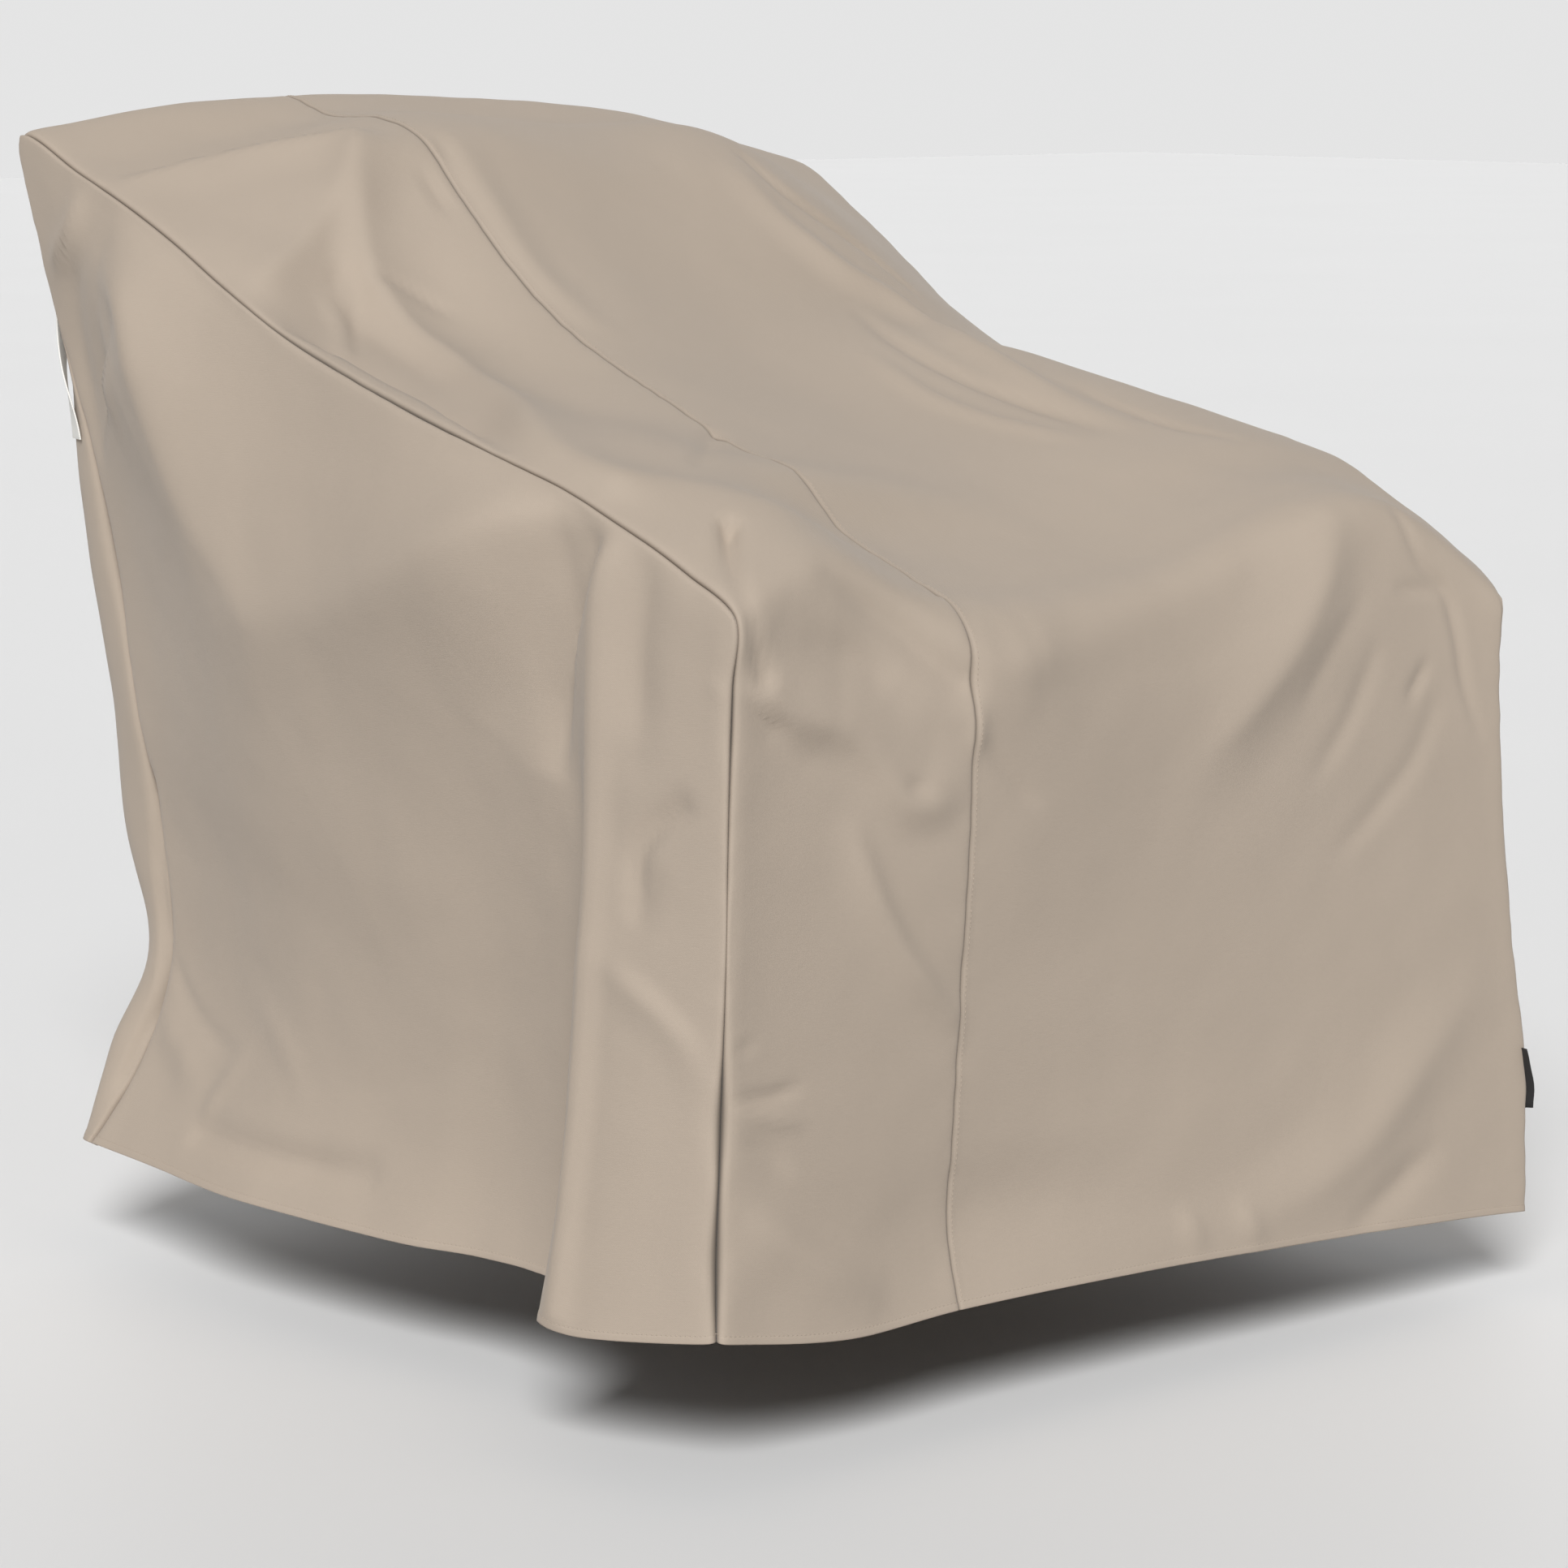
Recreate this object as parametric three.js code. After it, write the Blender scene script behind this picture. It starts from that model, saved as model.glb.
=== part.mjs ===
import * as THREE from 'three';

// A fitted cover for a lounge chair, in the shape in which it hangs, in millimetres.
// +Z is up, the front looks towards -Y and the near side towards -X.
// One long run of cloth goes up the front, over the top and down the back.
// A lengthwise seam parts the run into a narrow strip and a wide main panel,
// and a side panel closes it on either side.

// Driving sizes
const WIDTH = 952;
const DEPTH = 996;
const SIDE = WIDTH / 2;
const END = DEPTH / 2;
const CLOTH = 2.2;
const SEAM_INSET = 0.45;
const STRIP_WIDTH = 261;

// The whole is set so that its box stands on the origin, in the middle.
const PLACE = new THREE.Vector3(12.3, -7.2, 30.1);

// Samples along the front or back, along the top, and across the two run panels
const STEPS_UPRIGHT = 13;
const STEPS_TOP = 36;
const STEPS_STRIP = 7;
const STEPS_MAIN = 16;

// Finishes
const CLOTH_COLOUR = 0xb8a896;
const WEBBING_COLOUR = 0xcfcdc8;
const LABEL_COLOUR = 0x1c1b1b;

// A table is a list of rows, each turned into an object by its column names.
function table(columns, rows) {
  const names = columns.split(' ');
  return rows.map((row) => Object.fromEntries(names.map((name, i) => [name, row[i]])));
}

// Six lines run lengthwise over the cloth: the near edge, the crest of the near
// arm, the lengthwise seam, the middle, the crest of the far arm, the far edge.
const LINES = ['near', 'arm', 'seam', 'middle', 'farArm', 'far'];
const ACROSS = { near: 0, arm: 0.125, seam: 0.27, middle: 0.51, farArm: 0.8, far: 1 };
const LINE_X = { arm: -350, seam: STRIP_WIDTH - SIDE, middle: 30, farArm: 330 };
const FAR_ARM_BACK_X = 300;

// Front: how far each line stands forward of the front plane, at a share of the
// height from hem to front edge. nearOut and farOut are the edges' sideways reach.
const FRONT = table('share nearOut near arm seam middle farArm far farOut', [
  [0.00, 2, -1, 4, 2, 10, 20, 22, 13],
  [0.12, 1, -2, -4, -14, 4, 14, 18, 14],
  [0.25, -1, 0, -4, -8, 2, 10, 16, 11],
  [0.50, -7, 0, -2, 2, 2, 2, 10, -8],
  [0.75, -11, 0, -2, 12, 0, -6, 6, -21],
  [0.90, -13, 2, -4, 6, -8, -16, 4, -25],
  [1.00, -13, 5, -15, -12, -28, -36, 2, -25],
]);

// Top: height of each line over the level hem, at a station from front to back.
// The crest of the far arm moves inwards where the back rises.
const TOP = table('y nearOut near arm seam middle farArm far farOut farArmX', [
  [-500, -13, 610, 640, 588, 580, 636, 552, -25, 330],
  [-440, -10, 643, 672, 618, 604, 651, 590, -18, 335],
  [-340, -4, 683, 700, 656, 640, 669, 640, -12, 345],
  [-295, -2, 698, 714, 692, 657, 686, 660, -9, 348],
  [-220, 0, 716, 730, 709, 680, 703, 676, -6, 350],
  [-100, 1, 745, 742, 749, 716, 731, 690, -4, 350],
  [20, 2, 779, 762, 794, 766, 756, 698, -2, 345],
  [110, 4, 808, 797, 843, 818, 776, 712, -2, 325],
  [200, 6, 846, 868, 912, 888, 855, 745, -2, 270],
  [270, 8, 880, 917, 970, 945, 916, 779, -2, 250],
  [330, 10, 906, 945, 986, 972, 948, 818, -2, 245],
  [420, 12, 940, 962, 988, 978, 962, 877, -4, 250],
  [510, 14, 971, 995, 1003, 998, 972, 924, -6, 260],
]);

// Where the back edge of the top lies on each line
const BACK_EDGE_Y = { near: 527, arm: 512, seam: 500, middle: 505, farArm: 508, far: 520 };

// Back: how far each line stands behind the back plane, at a share of the height.
const BACK = table('share nearOut near arm seam middle farArm far farOut armX', [
  [0.88, 4, 12, 26, 20, 22, 22, 7, -8, -385],
  [0.70, -24, -23, 26, 22, 26, 24, -13, -18, -424],
  [0.58, -36, -43, 24, 20, 24, 22, -23, -24, -418],
  [0.44, -45, -59, 18, 16, 20, 18, -28, -26, -402],
  [0.30, -63, -73, 12, 10, 14, 12, -28, -24, -396],
  [0.18, -64, -72, -20, 4, 10, 8, -24, -18, -392],
  [0.09, -46, -53, 2, 2, 8, 6, -18, -12, -424],
  [0.00, -2, -24, 4, 2, 10, 8, -8, -4, -442],
]);

// Height of the hem under each line, over or under the level hem
const FRONT_HEM = { near: 20, arm: 0, seam: 0, middle: -4, farArm: -18, far: -30 };
const BACK_HEM = { near: 0, arm: 4, seam: 10, middle: 8, farArm: -5, far: -22 };

// Hems of the side panels between their corners: sideways reach, station, height.
// The near hem swings out round a deep pleat and then falls back behind it.
const NEAR_HEM = table('share out y z', [
  [0.030, 20, -452, 14],
  [0.070, 40, -402, 9],
  [0.110, 50, -358, 6],
  [0.148, 47, -316, 10],
  [0.166, 20, -300, 9],
  [0.184, -14, -286, 9],
  [0.205, -32, -252, 9],
  [0.240, -37, -196, 9],
  [0.300, -34, -130, 7],
  [0.400, -15, -45, 4],
  [0.500, -4, 30, 3],
  [0.600, 6, 105, 3],
  [0.720, 14, 215, 2],
  [0.850, 4, 350, 1],
]);
const FAR_HEM = table('share out y z', [
  [0.10, 14, -410, -30],
  [0.25, -6, -260, -28],
  [0.40, 16, -110, -28],
  [0.55, 2, 40, -26],
  [0.70, 20, 190, -25],
  [0.85, 6, 350, -23],
]);

// Folds: each goes its way over the places given, in the panels that it is on, where
// run is the strip and the main panel, and all crosses the seams too. rise is the
// height of its ridge, or below 0 the depth of its trough. left and right are how far
// it spreads to either side of its way, as seen from outside, or 0 for as far as the
// panel's seam. tip rounds its crest, and first and last are the shares of its
// height that it has at its two ends.
const FOLDS = table('name on way left right rise tip first last', [
  ['leaf rear', 'near', [
    [-482, 381, 847], [-481, 314, 822], [-477, 286, 772], [-472, 264, 722], [-466, 228, 659],
    [-461, 165, 594], [-459, 118, 556],
  ], 0, 0, 46, 8, 0.3, 0.9],
  ['leaf front', 'near', [
    [-459, 118, 556], [-463, -24, 585], [-467, -115, 622], [-471, -230, 663], [-472, -296, 674],
  ], 0, 380, 52, 20, 0.9, 0.3],
  ['arch one', 'near', [
    [-471, -297, 655], [-467, -270, 612], [-460, -236, 554], [-453, -198, 487],
  ], 34, 50, -11, 10, 0.9, 0.2],
  ['arch two', 'near', [
    [-473, -340, 655], [-472, -321, 608], [-461, -289, 530], [-453, -272, 453],
  ], 18, 34, -12, 6, 1, 0.3],
  ['pleat ridge', 'near', [
    [-473, -356, 645], [-478, -350, 500], [-490, -348, 340], [-505, -346, 180], [-522, -344, 20],
  ], 26, 16, 7, 4, 0.6, 1],
  ['face hollow', 'near', [
    [-470, -402, 639], [-473, -396, 589], [-475, -396, 543], [-478, -397, 497],
  ], 26, 24, -9, 8, 0.9, 0.3],
  ['face edge', 'near', [
    [-493, -373, 315], [-488, -427, 289], [-481, -464, 261], [-477, -484, 234],
  ], 14, 34, 5, 6, 0.3, 0.5],
  ['corner facet', 'near', [[-487, 419, 918], [-484, 441, 881], [-480, 484, 852]], 30, 30, 9, 6, 0.3, 0.3],
  ['rear wedge', 'near', [
    [-482, 435, 854], [-473, 456, 795], [-463, 459, 741], [-454, 461, 687],
  ], 24, 22, -7, 8, 0.5, 0.5],
  ['low pocket', 'near', [
    [-463, 297, 42], [-470, 206, 45], [-466, 117, 47], [-456, 29, 55],
  ], 24, 18, -9, 8, 0.7, 0.4],
  ['low facet', 'near', [[-422, 414, 127], [-430, 374, 106], [-440, 334, 87]], 30, 30, 6, 12, 0.5, 0.5],
  ['arm slope', 'run', [
    [-445, -499, 557], [-431, -497, 547], [-409, -496, 532], [-383, -496, 522], [-357, -496, 516],
  ], 110, 30, 9, 8, 0.5, 0.6],
  ['bulge edge', 'run', [
    [-357, -496, 516], [-329, -497, 498], [-308, -500, 476], [-292, -502, 455], [-276, -504, 442],
    [-256, -506, 441],
  ], 60, 30, 7, 8, 0.5, 0.8],
  ['strip hollow', 'run', [
    [-359, -494, 573], [-324, -496, 563], [-294, -500, 538],
  ], 30, 30, -5, 12, 0.6, 0.4],
  ['long ridge', 'run', [
    [-333, -497, 421], [-309, -498, 365], [-274, -498, 310], [-226, -497, 258],
  ], 18, 36, 8, 4, 0.4, 0.5],
  ['low ridge', 'run', [
    [-448, -496, 126], [-409, -495, 93], [-366, -496, 62], [-323, -496, 36],
  ], 32, 60, 10, 8, 0.4, 0.5],
  ['seat edge near', 'run', [
    [-222, -498, 564], [-187, -499, 547], [-140, -496, 548],
  ], 90, 90, 9, 10, 0.7, 0.7],
  ['seat edge far', 'run', [
    [-123, -493, 553], [-67, -485, 561], [3, -473, 575], [93, -455, 598], [177, -435, 625],
    [265, -409, 648],
  ], 130, 160, 11, 12, 0.6, 0.6],
  ['under seat', 'run', [
    [242, -440, 639], [174, -464, 607], [113, -474, 578], [46, -481, 556], [-19, -487, 545],
  ], 50, 60, -3, 14, 0.6, 0.4],
  ['drag ridge', 'run', [
    [257, -463, 626], [227, -477, 580], [187, -486, 534], [139, -492, 493], [85, -495, 452],
  ], 60, 70, 9, 9, 0.5, 0.4],
  ['low hollow', 'run', [
    [-177, -485, 96], [-96, -491, 69], [-7, -500, 54], [89, -505, 63], [189, -507, 91],
  ], 60, 44, -2, 16, 0.5, 0.4],
  ['low diagonal', 'run', [
    [399, -508, 178], [330, -509, 120], [276, -510, 75], [222, -510, 46], [143, -509, 25],
  ], 50, 60, 8, 14, 0.4, 0.5],
  ['tent top', 'run', [
    [-467, 386, 928], [-415, 370, 937], [-353, 353, 950], [-307, 326, 958], [-269, 295, 963],
  ], 16, 60, 9, 4, 0.4, 0.7],
  ['tent side', 'run', [
    [-274, 281, 956], [-319, 248, 915], [-373, 219, 875], [-434, 192, 846], [-477, 165, 829],
  ], 60, 120, 16, 6, 0.6, 0.3],
  ['wing ridge', 'run', [
    [-278, 271, 949], [-314, 220, 896], [-340, 170, 845], [-344, 112, 799], [-342, 52, 772],
    [-371, -73, 745], [-440, -246, 716], [-440, -322, 696],
  ], 70, 35, 15, 6, 0.5, 0.6],
  ['wing pocket', 'all', [
    [-465, 120, 808], [-443, 66, 785], [-437, -24, 759], [-444, -104, 742], [-464, -199, 723],
  ], 60, 8, -12, 3, 0.2, 0.3],
  ['crest rib', 'run', [
    [-185, 251, 964], [-190, 183, 903], [-194, 109, 846], [-184, 36, 803],
  ], 34, 22, 6, 7, 0.3, 0.3],
  ['far ridge', 'run', [
    [164, 250, 927], [179, 206, 884], [215, 163, 838], [267, 131, 801], [264, 5, 759],
    [256, -107, 726], [266, -186, 704],
  ], 24, 36, 9, 8, 0.3, 0.4],
  ['arm facet', 'run', [
    [-455, -266, 709], [-437, -319, 697], [-390, -354, 693], [-357, -398, 682], [-318, -422, 666],
  ], 70, 110, 9, 12, 0.3, 0.4],
  ['back trough', 'run', [
    [-150, 518, 900], [-110, 518, 600], [-170, 504, 260],
  ], 90, 90, -16, 20, 0.4, 0.4],
  ['back ridge', 'run', [[170, 518, 860], [120, 520, 560], [190, 508, 200]], 90, 110, 14, 20, 0.4, 0.4],
  ['back drag one', 'run', [[-390, 520, 880], [-250, 520, 760], [-60, 520, 700]], 40, 60, 12, 6, 0.5, 0.2],
  ['back drag two', 'run', [[400, 512, 850], [300, 518, 700], [120, 518, 620]], 44, 64, 13, 6, 0.5, 0.2],
  ['back drag three', 'run', [[420, 512, 760], [340, 515, 600], [250, 515, 480]], 26, 34, 8, 5, 0.5, 0.2],
  ['back hem fold', 'run', [[330, 505, 320], [350, 505, 150], [345, 500, 0]], 50, 64, 13, 10, 0.2, 1],
  ['back near fold', 'run', [[-300, 508, 350], [-318, 506, 150], [-310, 502, 0]], 46, 46, 12, 9, 0.2, 1],
  ['back middle fold', 'run', [[20, 508, 260], [0, 506, 120], [15, 502, 0]], 60, 50, 9, 12, 0.2, 1],
  ['far side trough', 'far', [
    [474, 250, 720], [474, 60, 470], [476, -60, 150],
  ], 120, 120, -18, 22, 0.4, 0.4],
  ['far side swag', 'far', [[474, -340, 560], [474, -60, 530], [474, 300, 640]], 0, 260, 34, 20, 0.5, 0.7],
  ['far side rear rib', 'far', [
    [474, 330, 760], [472, 300, 540], [474, 320, 240],
  ], 60, 50, 14, 8, 0.3, 0.3],
  ['far side pleat', 'far', [[474, -360, 560], [478, -330, 300], [484, -340, 0]], 44, 60, 14, 6, 0.3, 1],
  ['far side low fold', 'far', [[474, 120, 330], [478, 140, 160], [482, 120, -10]], 50, 60, 11, 8, 0.2, 1],
]);

// Webbing handle on the back, at the near corner, and the folded tag in the far
// front seam. Both are given over the level hem.
const HANDLE = {
  bottom: 684, top: 840, width: 25, column: 1.5, thickness: 2, bow: 5.5, off: 0.85, steps: 14,
};
const TAG = { bottom: 69, top: 128, reach: 14, topReach: 8, thickness: 1.2, steps: 4 };
const CLEARANCE = 0.5;

// A smooth curve through rows of numbers, with slopes worked out from the rows
// on either side; keys rise from row to row.
function curveThrough(keys, rows, key) {
  const last = keys.length - 1;
  const gap = (i) => keys[i + 1] - keys[i];
  const slopeAfter = (i, k) => (rows[i + 1][k] - rows[i][k]) / gap(i);
  const innerSlope = (i, k) => (
    (slopeAfter(i - 1, k) * gap(i) + slopeAfter(i, k) * gap(i - 1)) / (gap(i - 1) + gap(i))
  );
  const slope = (i, k) => {
    if (i === 0) return 1.5 * slopeAfter(0, k) - 0.5 * innerSlope(1, k);
    if (i === last) return 1.5 * slopeAfter(last - 1, k) - 0.5 * innerSlope(last - 1, k);
    return innerSlope(i, k);
  };
  let i = 0;
  while (i < last - 1 && key >= keys[i + 1]) i += 1;
  const h = gap(i);
  const t = (key - keys[i]) / h;
  const a = 2 * t ** 3 - 3 * t ** 2 + 1;
  const b = t ** 3 - 2 * t ** 2 + t;
  const c = 3 * t ** 2 - 2 * t ** 3;
  const d = t ** 3 - t ** 2;
  return rows[i].map((value, k) => (
    a * value + b * h * slope(i, k) + c * rows[i + 1][k] + d * h * slope(i + 1, k)
  ));
}

// The points of one lengthwise line, from the front hem over the top to the back hem
function linePoints(line) {
  const sideways = (row, middle) => {
    if (line === 'near') return -SIDE - row.nearOut;
    if (line === 'far') return SIDE + row.farOut;
    return middle;
  };
  const first = TOP[0];
  const last = TOP[TOP.length - 1];
  const frontEdgeY = -END - FRONT[FRONT.length - 1][line];
  const points = FRONT.map((row) => [
    sideways(row, LINE_X[line]),
    -END - row[line],
    THREE.MathUtils.lerp(FRONT_HEM[line], first[line], row.share),
  ]);
  for (const row of TOP.slice(1)) {
    const share = (row.y - first.y) / (last.y - first.y);
    const frontShift = (frontEdgeY - first.y) * (1 - share) ** 3;
    const backShift = (BACK_EDGE_Y[line] - last.y) * share ** 3;
    const x = line === 'farArm' ? row.farArmX : LINE_X[line];
    points.push([sideways(row, x), row.y + frontShift + backShift, row[line]]);
  }
  for (const row of BACK) {
    const x = { ...LINE_X, arm: row.armX, farArm: FAR_ARM_BACK_X }[line];
    points.push([
      sideways(row, x),
      END + row[line],
      THREE.MathUtils.lerp(BACK_HEM[line], last[line], row.share),
    ]);
  }
  return points;
}

// Share of the way along the run for each row of points, averaged over the lines
const linesOver = LINES.map(linePoints);
function sharesAlong(points) {
  const shares = [0];
  for (let i = 1; i < points.length; i += 1) {
    shares.push(shares[i - 1] + Math.hypot(...points[i].map((v, k) => v - points[i - 1][k])));
  }
  return shares.map((length) => length / shares[shares.length - 1]);
}
const allShares = linesOver.map(sharesAlong);
const along = allShares[0].map((_, i) => (
  allShares.reduce((sum, shares) => sum + shares[i], 0) / LINES.length
));
const FRONT_EDGE = along[FRONT.length - 1];
const BACK_EDGE = along[FRONT.length + TOP.length - 2];
const acrossKeys = LINES.map((line) => ACROSS[line]);

function spaced(from, to, steps) {
  return Array.from({ length: steps + 1 }, (_, i) => THREE.MathUtils.lerp(from, to, i / steps));
}

// Places along the run, and the number of the place where the top starts and ends
const places = [
  ...spaced(0, FRONT_EDGE, STEPS_UPRIGHT),
  ...spaced(FRONT_EDGE, BACK_EDGE, STEPS_TOP).slice(1),
  ...spaced(BACK_EDGE, 1, STEPS_UPRIGHT).slice(1),
];
const topStart = STEPS_UPRIGHT;
const topEnd = STEPS_UPRIGHT + STEPS_TOP;

const vector = (values) => new THREE.Vector3(...values);

const widths = [
  ...spaced(0, ACROSS.seam, STEPS_STRIP),
  ...spaced(ACROSS.seam, 1, STEPS_MAIN).slice(1),
];
function runGrid() {
  return places.map((place) => {
    const section = linesOver.map((points) => curveThrough(along, points, place));
    return widths.map((width) => vector(curveThrough(acrossKeys, section, width)));
  });
}

// A side panel hangs between its hem, its top seam and its two corner seams.
function sideGrid(edge, hemRows, outwards) {
  const front = edge.slice(0, topStart + 1);
  const top = edge.slice(topStart, topEnd + 1);
  const back = edge.slice(topEnd).reverse();
  const keys = [0, ...hemRows.map((row) => row.share), 1];
  const hemPoints = [
    front[0].toArray(),
    ...hemRows.map((row) => [outwards * (SIDE + row.out), row.y, row.z]),
    back[0].toArray(),
  ];
  return top.map((topPoint, i) => {
    const u = i / STEPS_TOP;
    const hemPoint = vector(curveThrough(keys, hemPoints, u));
    return front.map((frontPoint, j) => {
      const v = j / STEPS_UPRIGHT;
      const corners = new THREE.Vector3()
        .addScaledVector(front[0], (1 - u) * (1 - v))
        .addScaledVector(front[STEPS_UPRIGHT], (1 - u) * v)
        .addScaledVector(back[0], u * (1 - v))
        .addScaledVector(back[STEPS_UPRIGHT], u * v);
      return new THREE.Vector3()
        .addScaledVector(hemPoint, 1 - v)
        .addScaledVector(topPoint, v)
        .addScaledVector(frontPoint, 1 - u)
        .addScaledVector(back[j], u)
        .sub(corners);
    });
  });
}

// Directions square to a grid; turn is 1 or -1, so that they point out of the cover.
function directions(grid, turn) {
  const rows = grid.length;
  const columns = grid[0].length;
  return grid.map((row, i) => row.map((_, j) => {
    const alongRow = grid[Math.min(i + 1, rows - 1)][j].clone().sub(grid[Math.max(i - 1, 0)][j]);
    const acrossRow = row[Math.min(j + 1, columns - 1)].clone().sub(row[Math.max(j - 1, 0)]);
    return acrossRow.cross(alongRow).normalize().multiplyScalar(turn);
  }));
}

// Where two panels meet, both take the direction half-way between their own.
// Its length keeps the cloth as thick at the seam as beside it, up to a limit.
const LONGEST_MITRE = 1.5;
function shareSeam(runOut, sideOut, column) {
  const meet = (runRow, sideRow, j) => {
    const a = runOut[runRow][column];
    const b = sideOut[sideRow][j];
    const halfway = a.clone().add(b).normalize();
    halfway.divideScalar(Math.max(1 / LONGEST_MITRE, halfway.dot(a)));
    runOut[runRow][column] = halfway.clone();
    sideOut[sideRow][j] = halfway.clone();
  };
  const lastRun = runOut.length - 1;
  for (let j = 0; j < STEPS_UPRIGHT; j += 1) {
    meet(j, 0, j);
    meet(lastRun - j, STEPS_TOP, j);
  }
  for (let i = 0; i <= STEPS_TOP; i += 1) meet(topStart + i, i, STEPS_UPRIGHT);
}

// Each fold's way as points on a smooth curve
const FOLD_SAMPLES = 24;
const foldLines = FOLDS.map((fold) => {
  const shares = sharesAlong(fold.way);
  const at = spaced(0, 1, FOLD_SAMPLES);
  return { ...fold, points: at.map((share) => vector(curveThrough(shares, fold.way, share))) };
});

// The step of a line that comes nearest to a place, the gap from there to the
// place, and the share of the line that lies before it
function nearestOn(points, place) {
  let best = { distance: Infinity };
  for (let i = 0; i < FOLD_SAMPLES; i += 1) {
    const line = new THREE.Line3(points[i], points[i + 1]);
    const t = line.closestPointToPointParameter(place, true);
    const gap = place.clone().sub(line.at(t, new THREE.Vector3()));
    const distance = gap.length();
    if (distance < best.distance) {
      const ahead = points[i + 1].clone().sub(points[i]);
      best = { distance, gap, ahead, share: (i + t) / FOLD_SAMPLES };
    }
  }
  return best;
}

// The part of a fold's height that it has at a share of its way
const FOLD_RUN_OUT = 0.35;
function foldFade({ first, last }, share) {
  const rising = (part) => Math.sin((Math.PI / 2) * Math.min(1, part / FOLD_RUN_OUT));
  return THREE.MathUtils.lerp(first, 1, rising(share)) * THREE.MathUtils.lerp(last, 1, rising(1 - share));
}

// How a fold's height falls off to one side: in a curve that ends at its spread, or
// with a spread of 0 evenly as far as the panel's seam
const WIDEST = 420;
const EVEN_FALL = 1.4;
function fallOff(distance, spread, edge) {
  if (spread) return Math.max(0, 1 - distance / spread) ** 2;
  const even = (edge / (edge + distance + 0.01)) ** EVEN_FALL;
  return even * Math.max(0, 1 - (distance / WIDEST) ** 2);
}

// Height of all folds together at a place of a panel, with its outward direction
// and its distance to the panel's outer seams, which hold the cloth taut
const OFF_SURFACE = 15;
const EDGE_HOLD = 22;
function foldHeight(place, outside, edge, panel) {
  const held = 1 - Math.exp(-((edge / EDGE_HOLD) ** 2));
  let height = 0;
  let swell = 0;
  for (const fold of foldLines.filter(({ on }) => on === panel || on === 'all')) {
    const { gap, ahead, share } = nearestOn(fold.points, place);
    const off = THREE.MathUtils.clamp(gap.dot(outside), -OFF_SURFACE, OFF_SURFACE);
    gap.addScaledVector(outside, -off);
    const distance = gap.length();
    const leftwards = outside.clone().cross(ahead).normalize();
    const lean = 0.5 + 0.5 * gap.dot(leftwards) / Math.max(distance, 0.01);
    const fromCrest = Math.hypot(distance, fold.tip) - fold.tip;
    const right = fallOff(fromCrest, fold.right, edge);
    const left = fallOff(fromCrest, fold.left, edge);
    const hold = fold.on === 'all' ? 1 : held;
    const rise = fold.rise * foldFade(fold, share) * THREE.MathUtils.lerp(right, left, lean) * hold;
    if (fold.left && fold.right) height += rise;
    else swell += rise ** 4;
  }
  return height + swell ** 0.25;
}
function foldCloth(grid, out, panel, edgeDistance) {
  const heights = grid.map((row, i) => row.map((point, j) => (
    foldHeight(point, out[i][j].clone().normalize(), edgeDistance(i, j), panel)
  )));
  grid.forEach((row, i) => row.forEach((point, j) => {
    point.addScaledVector(out[i][j].clone().normalize(), heights[i][j]);
  }));
}

// Distances from a place in a grid to the outer seams of its panel
function runEdgeDistance(i, j) {
  return Math.min(widths[j], 1 - widths[j]) * WIDTH;
}
function sideEdgeDistance(grid) {
  const heights = grid.map((row) => row[STEPS_UPRIGHT].distanceTo(row[0]));
  return (i, j) => Math.min(
    (i / STEPS_TOP) * DEPTH,
    (1 - i / STEPS_TOP) * DEPTH,
    (1 - j / STEPS_UPRIGHT) * heights[i],
  );
}

// Moves the rows or columns at a seam back from it, so that the panels stay apart.
function drawBack(grid, edges) {
  const shift = (i, j, iNext, jNext) => {
    const step = grid[iNext][jNext].clone().sub(grid[i][j]).setLength(SEAM_INSET);
    return [grid[i][j], step];
  };
  const lastRow = grid.length - 1;
  const lastColumn = grid[0].length - 1;
  const moves = [];
  grid.forEach((row, i) => {
    if (edges.includes('firstColumn')) moves.push(shift(i, 0, i, 1));
    if (edges.includes('lastColumn')) moves.push(shift(i, lastColumn, i, lastColumn - 1));
  });
  grid[0].forEach((_, j) => {
    if (edges.includes('firstRow')) moves.push(shift(0, j, 1, j));
    if (edges.includes('lastRow')) moves.push(shift(lastRow, j, lastRow - 1, j));
  });
  moves.forEach(([point, step]) => point.add(step));
}

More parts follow.
